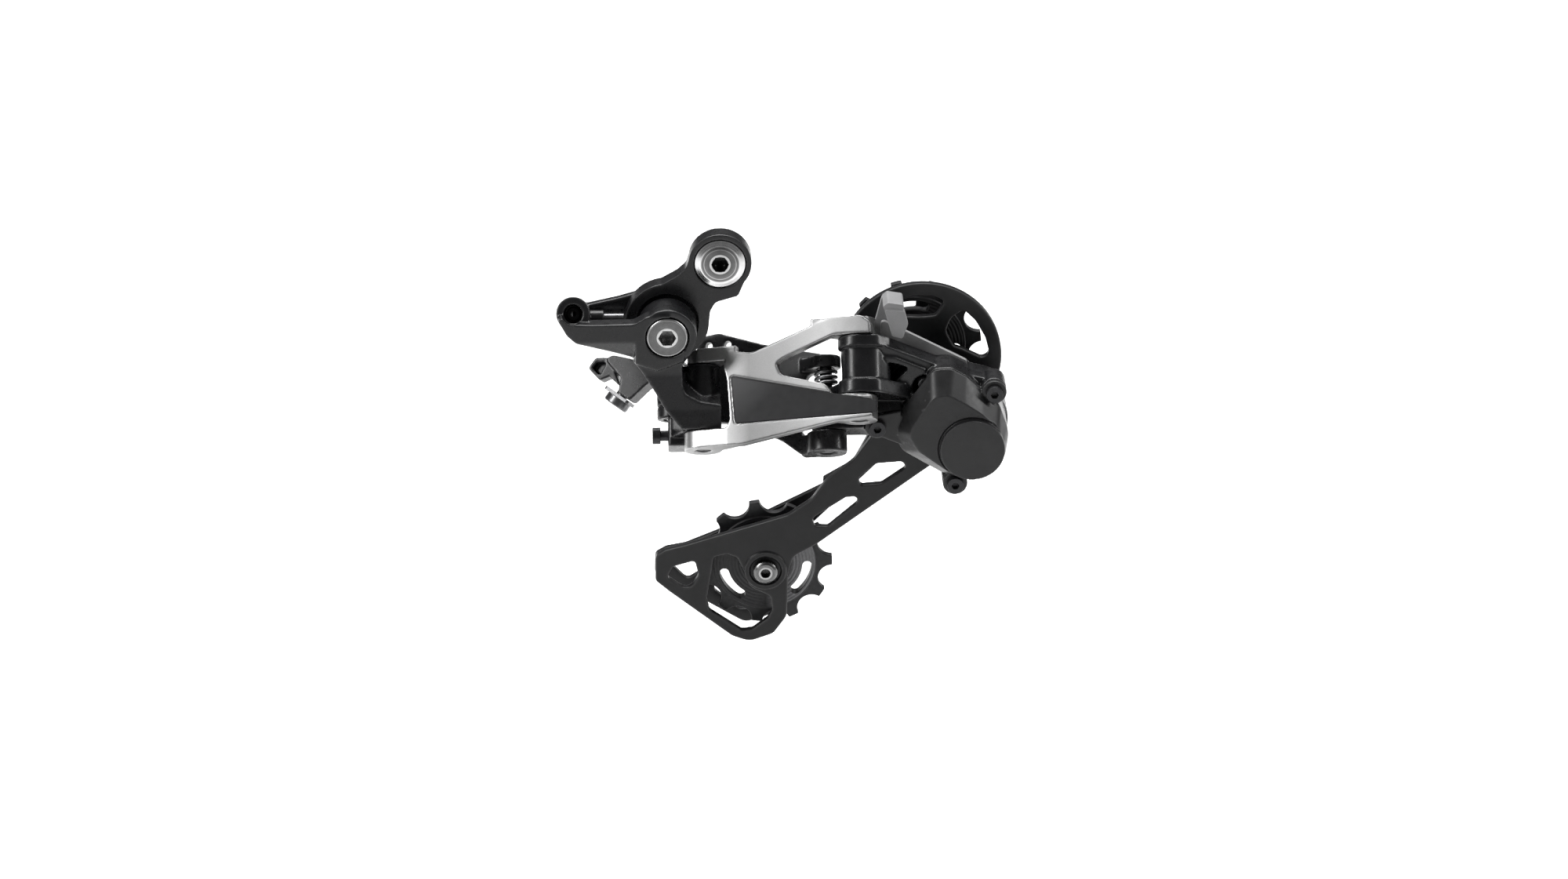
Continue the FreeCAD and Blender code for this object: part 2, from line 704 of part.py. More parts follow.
def cable_clamp():
    """The arm on the inner link that the gear cable is clamped to, with its bolt and plate."""
    frame = inner_frame()
    arm_points = [
        (-22.0, -24.2, 1), (-19.0, -23.2, 2), (-8.0, -26.4, 3), (4.5, -26.4, 1), (4.5, -27.9),
        (-5.2, -27.9, 1),
        (-5.4, -32.6, 1), (-8.2, -34.4, 2), (-13.7, -39.0, 1), (-17.6, -36.0), (-16.6, -31.0, 2),
    ]
    arm = wall("clamp_arm", arm_points, "-3.4", "3.6", frame)
    tab_points = [
        (-19.5, -27.3, 1), (-21.0, -23.6, 1.5), (-25.7, -23.3, 1.5), (-28.4, -26.6, 1.2),
        (-24.4, -31.1, 1),
        (-21.0, -30.0), (-17.0, -34.0),
    ]
    tab = wall("clamp_tab", tab_points, "-2.0", "2.6", frame)
    recess_points = [(-21.8, -25.0, 0.8), (-25.3, -24.8, 0.8), (-27.0, -26.7, 0.8), (-24.4, -29.6, 0.8)]
    recess = wall("clamp_recess", recess_points, "-3.0", "0.6", frame)
    bore = drum("clamp_bore", "2.0 + fit", "9.0", clamp_place(-0.5))
    whole = fuse("cable_clamp_arm", [arm, tab])
    piece("cable_clamp_arm", cut("cable_clamp_arm", whole, [recess, bore]))


def clamp_place(height):
    """A frame on the anchor bolt's axis, a height above its seat, whose z runs into the arm."""
    turn = Rotation(Vector(0, 1, 0), 38)
    seat = Vector(-17.4, 0.2, -36.4)
    return inner_frame() * Placement(seat + turn.multVec(Vector(0, 0, height)), turn)


def cable_anchor():
    """Anchor bolt and the plate that presses the cable on the arm."""
    steps = [("4.0", "4.3", "0.5"), ("4.3", "4.3", "2.2"), ("2.0", "2.0", "7.6")]
    turned("cable_anchor_bolt", steps, clamp_place(-4.0), socket=("2.3", "1.8"))
    plate_points = [(-5.4, -3.6, 1), (4.6, -3.6, 1), (4.6, 3.6, 1), (-2.0, 3.6, 1), (-5.4, 1.6, 1)]
    plate = extrude("anchor_plate", plate_points, Placement(), "1.1")
    hole = drum("anchor_plate_hole", "2.0 + fit", "2", Placement())
    piece("cable_anchor_plate", cut("anchor_plate", plate, [hole]), clamp_place(-1.25))


# ---------------------------------------------------------------- link pins, bushes and springs

def group(label, solids):
    """Several separate solids of one kind, kept as one node."""
    bundle = fresh("Part::Compound", label)
    bundle.Links = solids
    return piece(label, bundle)


def link_pins():
    """The four pins: two held in the body and two in the cage knuckle."""
    pins = [
        ("outer_body_pin", OUTER_PIN, "outer_low_bottom + 0.5", "outer_high_top - 0.3"),
        ("inner_body_pin", INNER_PIN, "inner_low_bottom + 0.2", "inner_high_top - 0.2"),
        ("outer_cage_pin", OUTER_FAR_PIN, "outer_far_low_bottom + 0.5", "outer_far_high_top - 0.3"),
        ("inner_cage_pin", INNER_FAR_PIN, "inner_far_low_bottom + 0.5", "inner_far_high_top - 0.2"),
    ]
    for label, spot, bottom, top in pins:
        piece(label, post(label, "link_pin_radius", spot, bottom, top))


def link_bushes():
    """Plastic bushes pressed into the ears of each link."""
    outer_ears = [
        (OUTER_PIN, "outer_low_bottom + 0.6", "outer_low_top"),
        (OUTER_PIN, "outer_high_bottom", "outer_high_top - 0.4"),
        (OUTER_FAR_PIN, "outer_far_low_bottom + 0.6", "outer_far_low_top"),
        (OUTER_FAR_PIN, "outer_far_high_bottom", "outer_far_high_top - 0.4"),
    ]
    inner_ears = [
        (INNER_PIN, "inner_low_bottom + 0.3", "inner_low_top"),
        (INNER_PIN, "inner_high_bottom", "inner_high_top - 0.3"),
        (INNER_FAR_PIN, "inner_far_low_bottom + 0.6", "inner_far_low_top"),
        (INNER_FAR_PIN, "inner_far_high_bottom", "inner_far_high_top - 0.3"),
    ]
    for label, ears in (("outer_link_bushes", outer_ears), ("inner_link_bushes", inner_ears)):
        solids = []
        for spot, bottom, top in ears:
            sleeve = post(label, "link_pin_radius + fit + bush_wall", spot, bottom, top)
            hole = post(label, "link_pin_radius + fit", spot, bottom, top)
            solids.append(cut(label, sleeve, [hole]))
        group(label, solids)


def return_spring():
    """Torsion spring round the inner cage pin, which pulls the links back outboard."""
    low = mm("inner_far_high_bottom") - mm("far_spring_height")
    spot = Vector(INNER_FAR_PIN.x, INNER_FAR_PIN.y, low + 0.75)
    coil("return_spring", 3.3, 0.6, 3, 1.7, slanted(spot))


# ---------------------------------------------------------------- cage knuckle with the clutch

CLUTCH_X, CLUTCH_Z = mm("clutch_x"), mm("clutch_z")
COVER_BOLTS = ((88.3, -39.7), (50.5, -51.6), (76.1, -72.3))
HOUSING_POINTS = [
    (65.1, -36.4, 6), (68.5, -31.8, 4), (74.5, -31.6, 4), (79.6, -34.6, 6), (84.5, -39.4, 6),
    (90.2, -45.0, 6),
    (93.4, -54.5, 10), (92.2, -64.5, 8), (86.0, -69.0, 8), (77.5, -70.6, 7), (71.5, -68.6, 6),
    (58.4, -60.4, 6),
    (55.8, -53.4, 5), (58.6, -45.6, 6),
]
COVER_BRIDGE_POINTS = [(49.0, -47.9), (58.0, -46.0), (59.5, -58.5), (52.0, -55.3)]


def housing_ears(name, radius, front, back):
    """Round ears at the three cover bolts."""
    ears = []
    for x, z in COVER_BOLTS:
        ears.append(barrel(name, radius, x, z, front, back))
    return ears


def knuckle_shell():
    """Housing of the clutch, its rear boss, flange, fin and the plate towards the links."""
    housing = slab("housing", HOUSING_POINTS, "housing_front", "housing_back")
    boss = barrel("rear_boss", "rear_boss_radius", CLUTCH_X, CLUTCH_Z, "housing_back - 0.5",
                  "rear_boss_back")
    flange_points = [
        (51.2, -24.2, 1.2), (52.8, -24.6, 1.2), (75.6, -34.2, 8), (84.0, -36.4), (88.0, -37.5, 3),
        (91.6, -41.0, 3), (84.0, -42.5), (72.0, -36.4, 6), (51.2, -28.4, 2),
    ]
    flange = slab("knuckle_flange", flange_points, "-16.6", "-6.0")
    front_points = [
        (46.5, -28.0), (56.0, -28.6), (66.0, -33.0), (70.0, -45.0), (60.0, -58.0), (52.4, -53.0, 3),
        (51.6, -43.2, 2),
        (46.0, -40.0, 2),
    ]
    front = slab("knuckle_front", front_points, "-17.4", "-7.4")
    pocket_points = [
        (47.8, -29.0, 1), (57.5, -31.2, 1), (61.0, -32.6, 1), (55.6, -38.0, 2), (48.5, -39.4, 2),
    ]
    pocket = slab("knuckle_pocket", pocket_points, "-19", "-10.5")
    lug_points = [(64.0, -52.0, 1), (69.5, -53.5), (69.5, -61.5), (64.0, -60.0, 1)]
    lug = slab("stop_lug", lug_points, "housing_back - 0.5", "rear_boss_back")
    solids = [housing, boss, flange, cut("knuckle_front", front, [pocket]), lug]
    return solids + housing_ears("housing_ear", "4.1", "housing_front", "-11.0")


def knuckle_pivots():
    """Barrels for the two cage-side link pins, and the web between them."""
    low, high = "outer_far_low_top + side_gap", "outer_far_high_bottom - side_gap"
    lug_low, ledge_top = high + " - 3.8", low + " + 4.6"
    outer = post("outer_far_barrel", "5.3", OUTER_FAR_PIN, low, high)
    lug = post("outer_far_lug", "lug_radius", OUTER_FAR_PIN, lug_low, high)
    ledge = post("outer_far_ledge", "lug_radius", OUTER_FAR_PIN, low, ledge_top)
    pin = OUTER_FAR_PIN
    lug_points = [(pin.x, pin.y - 6.5), (50.5, 0.4, 3), (54.8, 3.6), (54.8, 14.0), (pin.x, pin.y + 6.5)]
    lug_web = layer("lug_web", lug_points, lug_low, high)
    column_points = [
        (pin.x, pin.y - 5.3), (50.0, 1.6, 4), (54.5, 6.0, 3), (55.5, 14.0), (pin.x, pin.y + 5.3),
    ]
    column = layer("knuckle_column", column_points, low, high)
    ledge_points = [
        (pin.x, pin.y - 6.5), (50.5, 0.4, 3), (57.0, 6.6, 3), (64.0, 13.0), (60.0, 20.0),
        (pin.x, pin.y + 6.5),
    ]
    ledge_web = layer("ledge_web", ledge_points, low, ledge_top)
    inner = post("inner_far_barrel", "inner_ear_radius", INNER_FAR_PIN, "inner_far_low_top + side_gap",
                 "inner_far_high_bottom - far_spring_height - 0.2")
    web_points = [
        (33.0, 15.8), (50.0, 13.2, 2), (58.0, 13.4), (62.0, 20.0), (56.0, 26.4, 3), (35.5, 25.2),
    ]
    web = layer("knuckle_web", web_points, "inner_far_low_top + side_gap", "-43.0")
    brace_points = [(39.4, 5.0), (50.0, 5.6), (50.4, 13.6), (56.0, 20.0), (38.0, 24.0), (34.0, 16.0)]
    brace = layer("knuckle_brace", brace_points, "-44.6", "-40.6")
    return [outer, lug, ledge, lug_web, column, ledge_web, inner, web, brace]


def cage_knuckle():
    """The lower knuckle, the casting that holds the clutch and the cage pivot."""
    whole = fuse("cage_knuckle", knuckle_shell() + knuckle_pivots(), refine=False)
    cavity = "clutch_cavity_radius"
    tools = [
        barrel("clutch_cavity", cavity, CLUTCH_X, CLUTCH_Z, "-20", "housing_back - housing_floor"),
        barrel("axle_bore", "cage_axle_radius + fit", CLUTCH_X, CLUTCH_Z, "-8", "5"),
        barrel("spring_cavity", "9.6", CLUTCH_X, CLUTCH_Z, "-3.4", "5"),
        barrel("lever_bore", "lever_shaft_radius + fit", mm("lever_x"), mm("lever_z"), "-20", "-4"),
        barrel("lever_cavity", "4.0", mm("lever_x"), mm("lever_z") - 1.0, "-20", "-12"),
        post("outer_far_bore", "link_pin_radius + fit", OUTER_FAR_PIN, "outer_far_low_bottom",
             "outer_far_high_top"),
        post("inner_far_bore", "link_pin_radius + fit", INNER_FAR_PIN, "inner_far_low_bottom", "-25"),
        slab("fin_slot", fin_outline(0.03), "fin_front - 0.03", "fin_back + 0.03"),
    ]
    tools += housing_ears("housing_bolt_bore", "cover_bolt_shank + fit", "-20", "-12.0")
    tools.append(post("link_ear_room", "6.6", OUTER_FAR_PIN, "outer_far_high_bottom - side_gap", "-12"))
    tools.append(slab("cover_clearance", HOUSING_POINTS, "-32", "housing_front"))
    tools.append(slab("cover_bridge_clearance", COVER_BRIDGE_POINTS, "-32", "housing_front"))
    tools += housing_ears("cover_ear_clearance", "4.3", "-32", "housing_front")
    piece("cage_knuckle", cut("cage_knuckle", whole, tools, refine=False))


def fin_outline(grow):
    """Outline of the fin plate, grown on its two long sides."""
    return [
        (52.0 - grow, -20.0, 0.8), (53.4, -19.9 + grow, 0.8), (80.8, -34.6 + grow, 1),
        (78.0, -37.0 - grow),
        (52.0 - grow, -26.4 - grow),
    ]


def fin_plate():
    """The painted plate that stands in a slot of the knuckle's flange, beside the lever."""
    piece("fin_plate", slab("fin_plate", fin_outline(0.0), "fin_front", "fin_back"))


def cover_loft():
    """The cover's sloped skirt, from the foot outline up to the raised plateau."""
    plateau_points = [
        (63.8, -46.0, 6), (68.2, -38.9, 5), (73.0, -38.0, 4), (78.6, -41.2, 9), (84.0, -44.8, 9),
        (89.5, -50.2, 8),
        (91.9, -57.2, 9), (90.3, -64.0, 8), (85.0, -67.6, 7), (78.0, -67.8, 7), (73.4, -65.4, 8),
        (64.0, -58.2, 8),
        (60.8, -53.0, 5), (61.6, -49.6, 6),
    ]
    foot = outline("cover_foot", HOUSING_POINTS, Placement(Vector(0, mm("cover_base"), 0), FRONT))
    top = outline("cover_top", plateau_points, Placement(Vector(0, mm("cover_plateau"), 0), FRONT))
    loft = fresh("Part::Loft", "cover_loft")
    loft.Sections = [foot, top]
    loft.Solid = True
    loft.Ruled = True
    return loft


def clutch_cover():
    """The cover over the clutch, with its round bulge and three bolt ears."""
    foot = slab("cover_plate", HOUSING_POINTS, "cover_base", "housing_front - 0.4")
    bulge = barrel("cover_bulge", "cover_bulge_radius", CLUTCH_X, CLUTCH_Z, "cover_front",
                   "cover_plateau + 0.4")
    ears = housing_ears("cover_ear", "4.0", "-21.4", "housing_front - 0.4")
    bridge = slab("cover_bridge", COVER_BRIDGE_POINTS, "-21.4", "housing_front - 0.4")
    whole = fuse("clutch_cover", [cover_loft(), foot, bulge, bridge] + ears)
    room = barrel("cover_room", "clutch_cavity_radius", CLUTCH_X, CLUTCH_Z, "-24.6", "-19")
    groove = barrel("groove_outside", "cover_bulge_radius + 0.7", CLUTCH_X, CLUTCH_Z,
                    "cover_plateau - 2.0",
                    "cover_plateau + 0.5")
    groove_core = barrel("groove_core", "cover_bulge_radius", CLUTCH_X, CLUTCH_Z, "-40", "0")
    seats = housing_ears("cover_seat", "cover_bolt_radius + 0.35", "-26", "-21.4")
    bores = housing_ears("cover_bore", "cover_bolt_shank + fit", "-22", "-19")
    piece("clutch_cover",
          cut("clutch_cover", whole,
              [room, cut("cover_groove", groove, [groove_core])] + seats + bores))


def cover_gasket():
    """Thin rubber gasket between the cover and the housing."""
    sheet_solid = slab("gasket", HOUSING_POINTS, "housing_front - 0.35", "housing_front - 0.05")
    inside = barrel("gasket_room", "clutch_cavity_radius", CLUTCH_X, CLUTCH_Z, "-21", "-19")
    lever_room = barrel("gasket_lever_room", "4.0", mm("lever_x"), mm("lever_z") - 1.0, "-21", "-19")
    trimmed = cut("gasket", sheet_solid,
                  [inside, lever_room] + housing_ears("gasket_ear_room", "2.2", "-21", "-19"))
    piece("cover_gasket", trimmed)


def cover_bolts():
    """The three hexagon-socket bolts of the cover."""
    bolts = []
    for x, z in COVER_BOLTS:
        head = barrel("cover_bolt_head", "cover_bolt_radius", x, z, "-23.4", "-21.4")
        shank = barrel("cover_bolt_shank", "cover_bolt_shank", x, z, "-21.6", "-12.6")
        hexagon = fresh("Part::Prism", "cover_bolt_hex")
        hexagon.Polygon = 6
        hexagon.Circumradius = 1.3
        hexagon.Height = 1.6
        hexagon.Placement = inboard(x, -23.5, z)
        bolts.append(cut("cover_bolt", fuse("cover_bolt", [head, shank]), [hexagon]))
    group("cover_bolts", bolts)


def clutch():
    """One-way roller clutch on the cage axle, and the friction band clamped round it."""
    place = inboard(CLUTCH_X, -17.6, CLUTCH_Z)
    ring("roller_clutch", "roller_radius", "cage_axle_radius + fit", "10.0", place)
    band = barrel("band", "band_radius", CLUTCH_X, CLUTCH_Z, "-17.0", "-9.0")
    bore = barrel("band_bore", "roller_radius + fit", CLUTCH_X, CLUTCH_Z, "-18", "-8")
    slit_points = [(CLUTCH_X - 9.5, CLUTCH_Z + 3.0), (CLUTCH_X - 4.0, CLUTCH_Z + 3.0),
                   (CLUTCH_X - 4.0, CLUTCH_Z + 5.4),
                   (CLUTCH_X - 9.5, CLUTCH_Z + 5.4)]
    slit = slab("band_slit", slit_points, "-18", "-8")
    piece("friction_band", cut("friction_band", band, [bore, slit]))


def clutch_lever():
    """The switch lever, a bent strip whose tab folds over the fin, on its cam shaft."""
    back = "lever_front + lever_thickness"
    strip_points = [
        (48.3, -29.0, 3), (49.6, -24.0), (52.4, -13.0, 1), (55.6, -12.2, 1), (56.2, -14.0),
        (53.6, -25.0, 2),
        (55.0, -29.0, 2), (64.0, -34.6, 2), (69.4, -36.6, 2), (68.6, -41.6, 3), (63.4, -41.2, 3),
        (50.5, -33.2, 3),
    ]
    strip = slab("lever_strip", strip_points, "lever_front", back)
    shelf_points = [
        (52.4, -13.0, 0.6), (54.0, -11.6, 0.8), (59.0, -12.4, 0.8), (59.4, -14.2, 0.6),
        (53.0, -14.6, 0.6),
    ]
    shelf = slab("lever_shelf", shelf_points, "-12.0", back)
    tab_points = [
        (52.8, -13.8, 0.6), (59.4, -14.4, 0.8), (60.6, -19.0, 0.8), (58.9, -24.2, 0.8),
        (55.4, -23.4, 0.8),
    ]
    tab = slab("lever_tab", tab_points, "-12.6", "-10.2")
    bore = barrel("lever_hub_bore", "lever_shaft_radius + fit", mm("lever_x"), mm("lever_z"), "-5", "0")
    piece("clutch_lever", cut("clutch_lever", fuse("clutch_lever", [strip, shelf, tab]), [bore]))
    x, z = mm("lever_x"), mm("lever_z")
    shaft = barrel("lever_shaft", "lever_shaft_radius", x, z, "-18.4",
                   "lever_front + lever_thickness + 0.8")
    collar = barrel("lever_collar", "lever_shaft_radius + 1.4", x, z,
                    "lever_front + lever_thickness + 0.02",
                    "lever_front + lever_thickness + 1.0")
    cam_points = [
        (x - 1.6, z + 2.0, 1), (x + 1.6, z + 2.0, 1), (x + 1.6, z - 3.4, 1), (x - 1.6, z - 3.4, 1),
    ]
    cam = slab("lever_cam", cam_points, "-17.6", "-13.0")
    piece("lever_shaft", fuse("lever_shaft", [shaft, collar, cam]))


# ---------------------------------------------------------------- cage

def cage_axle():
    """The axle that the cage swings on, with its clip and the screw that holds the cage plate."""
    steps = [("4.4", "cage_axle_radius", "0.6"), ("cage_axle_radius", "cage_axle_radius", "27.1"),
             ("9.0", "9.0", "1.0"), ("4.0", "4.0", "2.5")]
    turned("cage_axle", steps, inboard(CLUTCH_X, -23.0, CLUTCH_Z), socket=("hanger_hex_radius", "5"))
    ring("axle_clip", "6.6", "cage_axle_radius + 0.03", "0.8", inboard(CLUTCH_X, -19.0, CLUTCH_Z))
    steps = [("4.6", "4.6", "1.2"), ("4.6", "3.9", "0.6")]
    turned("axle_rivet", steps, inboard(CLUTCH_X, 8.32, CLUTCH_Z))


def cage_spring():
    """Torsion spring in the rear boss, which pulls the cage back and keeps the chain tight."""
    coil("cage_spring", 7.4, 0.8, 3, 1.75, inboard(CLUTCH_X, -2.45, CLUTCH_Z))


OUTER_PLATE_POINTS = [
    (46.0, -52.0), (52.2, -60.0, 5), (51.7, -65.6, 6), (44.0, -77.0, 10), (34.6, -84.8, 6),
    (29.9, -91.7, 8),
    (22.0, -97.4, 8), (-12.4, -108.2), (-18.9, -109.9, 3), (-22.0, -111.8, 2), (-22.2, -121.0, 2),
    (-17.6, -125.2),
    (3.4, -142.4, 6), (9.3, -144.6, 6), (17.4, -141.6, 4), (21.9, -135.0, 5), (22.2, -119.6, 4),
    (24.0, -112.6, 4),
    (31.9, -108.0), (70.5, -78.4), (84.0, -71.5, 8), (94.6, -60.0, 10), (91.6, -44.0), (66.0, -39.0),
]
WINDOW_TRIANGLE = [
    (-18.4, -120.0, 1.5), (-16.3, -115.9, 1), (-8.9, -113.7, 1.2), (-7.7, -119.4, 3),
    (-11.0, -125.4, 3),
]
WINDOW_BIG = [
    (1.8, -111.3, 2), (-2.6, -112.4, 1.5), (-5.0, -128.0, 1.5), (-4.2, -132.6, 2), (6.8, -140.6, 2),
    (10.4, -140.0, 1.5),
    (15.4, -136.0, 2), (17.0, -132.6, 1.5), (16.4, -127.4, 2), (9.4, -123.8, 4), (6.9, -116.4, 4),
    (5.2, -112.6, 2),
]
WINDOW_SLOT = [(30.4, -98.8, 1), (31.6, -97.4, 1), (41.6, -90.6, 1), (45.2, -90.4, 1.6),
               (45.4, -92.8, 1.6), (35.6, -101.6, 1),
               (31.2, -101.4, 1)]
WINDOW_QUAD = [
    (45.6, -83.6, 2), (51.7, -78.2, 2), (60.2, -77.6, 1.5), (61.6, -79.8, 1.2), (53.4, -85.8, 2),
    (46.4, -86.4, 1.2),
]
GUARD_UPPER = [
    (54.2, -21.4, 2), (58.6, -19.0, 4), (64.0, -17.3, 8), (70.0, -17.4, 4), (73.6, -19.4, 1.5),
    (70.6, -24.6, 2),
    (66.0, -25.0, 6), (60.0, -24.8, 6), (55.5, -27.6, 3),
]
GUARD_RIGHT = [
    (73.8, -30.0, 4), (75.6, -25.4, 4), (79.6, -22.4, 1.5), (83.6, -26.4, 8), (87.0, -32.6, 8),
    (88.4, -38.4, 2),
    (86.0, -40.0, 2), (80.0, -36.9, 4), (76.6, -35.6, 2),
]


def outer_cage_plate():
    """The outboard plate, with the round guard over the guide pulley and its windows."""
    back = "cage_front + cage_plate"
    plate = slab("outer_plate", OUTER_PLATE_POINTS, "cage_front", back)
    guard = barrel("guard", "guard_radius", mm("guard_x"), mm("guard_z"), "cage_front", back)
    boss = barrel("bolt_boss", "7.0", mm("tension_x"), mm("tension_z"), "cage_front - 0.6", back)
    tools = [
        barrel("axle_hole", "4.0 + fit", CLUTCH_X, CLUTCH_Z, "5", "9"),
        barrel("guide_hole", "pulley_bolt_radius + fit", mm("guide_x"), mm("guide_z"), "4", "9"),
        barrel("tension_hole", "pulley_bolt_radius + fit", mm("tension_x"), mm("tension_z"), "4", "9"),
        barrel("stop_pin_hole", "1.1 + fit", 67.4, -66.0, "4", "9"),
        barrel("tension_seat", "5.4", mm("tension_x"), mm("tension_z"), "4", "cage_front + 0.3"),
    ]
    for points in (WINDOW_TRIANGLE, WINDOW_BIG, WINDOW_SLOT, WINDOW_QUAD, GUARD_UPPER, GUARD_RIGHT):
        tools.append(slab("plate_window", points, "4", "10"))
    piece("outer_cage_plate",
          cut("outer_cage_plate", fuse("outer_cage_plate", [plate, guard, boss]), tools))


def inner_cage_plate():
    """The inboard plate, which mirrors the lower part and reaches up to the guide pulley."""
    back = "cage_inner_front + cage_inner_plate"
    points = [
        (60.0, -29.0, 3), (64.6, -27.0), (65.0, -21.0, 1.5), (69.8, -21.4, 1.5), (69.6, -28.6),
        (73.0, -36.0, 8),
        (70.5, -48.0, 10), (58.0, -78.0, 20), (31.9, -105.0, 20), (24.0, -112.0, 6),
        (22.0, -134.0, 6), (16.0, -141.0, 5),
        (8.0, -143.6, 5), (-17.6, -127.4, 2), (-22.4, -124.0, 2), (-22.2, -117.0, 2),
        (-18.5, -114.8, 2), (-12.1, -113.6),
        (16.1, -101.5, 6), (34.5, -91.8), (34.2, -89.5, 1), (44.3, -83.3, 6), (50.0, -72.0, 12),
        (55.0, -48.0, 10),
        (53.5, -36.0, 8),
    ]
    plate = slab("inner_plate", points, "cage_inner_front", back)
    tools = [
        barrel("guide_thread", "pulley_bolt_radius + fit", mm("guide_x"), mm("guide_z"), "17", "21"),
        barrel("tension_thread", "pulley_bolt_radius + fit", mm("tension_x"), mm("tension_z"), "17",
               "21"),
    ]
    windows = [
        [(-17.0, -121.0, 2), (-12.0, -117.5, 2), (-7.0, -117.0, 2), (-7.0, -124.0, 2),
         (-11.5, -127.0, 2)],
        [(-1.5, -121.0, 2), (4.6, -114.0, 3), (5.4, -122.0, 3), (14.0, -129.0, 3), (17.2, -132.0, 2),
         (13.0, -138.0, 3),
         (6.0, -138.6, 3), (-2.4, -131.0, 2)],
        [(27.0, -102.0, 2), (38.0, -92.6, 2), (41.0, -93.4, 1.5), (31.0, -103.6, 2)],
        [(56.4, -60.0, 2), (60.0, -52.0, 2), (62.6, -54.0, 2), (57.0, -70.0, 2), (54.0, -72.0, 2)],
    ]
    for window in windows:
        tools.append(slab("inner_window", window, "17", "21"))
    piece("inner_cage_plate", cut("inner_cage_plate", plate, tools))


def stop_pin():
    """Pin on the outer plate that rests on the knuckle's lug and ends the cage's swing."""
    steps = [("1.6", "1.6", "4.0"), ("1.1", "1.1", "2.5")]
    turned("cage_stop_pin", steps, inboard(67.4, 1.75, -66.0))


def pulley(name, x, z, phase):
    """A toothed pulley with its bush, sleeve, dust caps and bolt."""
    body_object = doc.addObject("PartDesign::Body", name + "_body")
    origin = [item for item in body_object.Origin.OriginFeatures if item.Role == "XY_Plane"][0]
    axis = [item for item in body_object.Origin.OriginFeatures if item.Role == "Z_Axis"][0]

    def disc(tag, radius, width):
        sketch = body_object.newObject("Sketcher::SketchObject", name + tag)
        sketch.AttachmentSupport = (origin, "")
        sketch.MapMode = "FlatFace"
        sketch.addGeometry(Part.Circle(Vector(0, 0, 0), Vector(0, 0, 1), mm(radius)))
        bind_radius(sketch, radius)
        pad = body_object.newObject("PartDesign::Pad", name + tag + "_pad")
        pad.Profile = sketch
        pad.Midplane = True
        pad.setExpression("Length", formula(width))
        return pad

    disc("_rim", "pulley_tip_radius", "pulley_tooth_width")
    seat = body_object.newObject("Sketcher::SketchObject", name + "_seat")
    seat.AttachmentSupport = (origin, "")
    seat.MapMode = "FlatFace"
    angle = math.radians(phase + 180.0 / mm("teeth"))
    centre = Vector(math.cos(angle), math.sin(angle), 0) * mm("pulley_seat_circle")
    seat.addGeometry(Part.Circle(centre, Vector(0, 0, 1), mm("pulley_seat_radius")))
    bind_radius(seat, "pulley_seat_radius")
    scallop = body_object.newObject("PartDesign::Pocket", name + "_scallop")
    scallop.Profile = seat
    scallop.Midplane = True
    scallop.setExpression("Length", formula("pulley_tooth_width + 2"))
    pattern = body_object.newObject("PartDesign::PolarPattern", name + "_teeth")
    pattern.Originals = [scallop]
    pattern.Axis = (axis, [""])
    pattern.Angle = 360
    pattern.setExpression("Occurrences", formula("teeth"))
    body_object.Tip = pattern
    disc("_disc", "pulley_disc_radius", "pulley_disc_width")
    last = disc("_hub", "pulley_hub_radius", "pulley_hub_width")
    body_object.Tip = last
    doc.recompute()
    tools = [drum(name + "_bore", "pulley_bore_radius", "20", Placement(Vector(0, 0, -10), Rotation()))]
    for middle in (-25, 95, 215):
        tools.append(kidney(name, middle))
    wheel = cut(name, body_object, tools)
    piece(name, wheel, Placement(Vector(x, mm("pulley_middle"), z), FRONT))
    sleeve = "pulley_bolt_radius + fit + pulley_sleeve_wall - 0.15"
    ring(name + "_bush", "pulley_bore_radius - 0.03", sleeve + " + fit", "pulley_hub_width",
         inboard(x, number("pulley_middle - 3.2"), z))
    ring(name + "_sleeve", sleeve, "pulley_bolt_radius + fit", "9.3", inboard(x, 8.35, z))
    caps = []
    for front in ("8.35", "16.45"):
        cap = barrel(name + "_cap", "6.8", x, z, front, front + " + 1.2")
        caps.append(cut(name + "_cap", cap,
                        [barrel(name + "_cap_bore", sleeve + " + fit", x, z, "8", "18")]))
    group(name + "_caps", caps)
    steps = [("3.2", "pulley_bolt_head", "0.7"), ("pulley_bolt_head", "pulley_bolt_head", "1.7"),
             ("pulley_bolt_radius", "pulley_bolt_radius", "13.6")]
    turned(name + "_bolt", steps, inboard(x, 3.35, z), socket=("1.75", "1.9"))


def bind_radius(sketch, radius):
    """Binds a sketch's one circle to a dimension."""
    sketch.addConstraint(Sketcher.Constraint("Radius", 0, mm(radius)))
    sketch.setExpression("Constraints[0]", formula(radius))


def kidney(name, middle):
    """A curved slot through a pulley's disc, centred on an angle."""
    inner, outer, half = 12.6, 15.8, 20.0
    low, high = math.radians(middle - half), math.radians(middle + half)
    centre = math.radians(middle)

    def spot(radius, angle):
        return Vector(radius * math.cos(angle), radius * math.sin(angle), -6)

    end_high = spot((inner + outer) / 2, high + 0.11)
    end_low = spot((inner + outer) / 2, low - 0.11)
    edges = [
        Part.Arc(spot(outer, low), spot(outer, centre), spot(outer, high)).toShape(),
        Part.Arc(spot(outer, high), end_high, spot(inner, high)).toShape(),
        Part.Arc(spot(inner, high), spot(inner, centre), spot(inner, low)).toShape(),
        Part.Arc(spot(inner, low), end_low, spot(outer, low)).toShape(),
    ]
    slot = fresh("Part::Feature", name + "_kidney")
    slot.Shape = Part.Face(Part.Wire(edges)).extrude(Vector(0, 0, 12))
    return slot


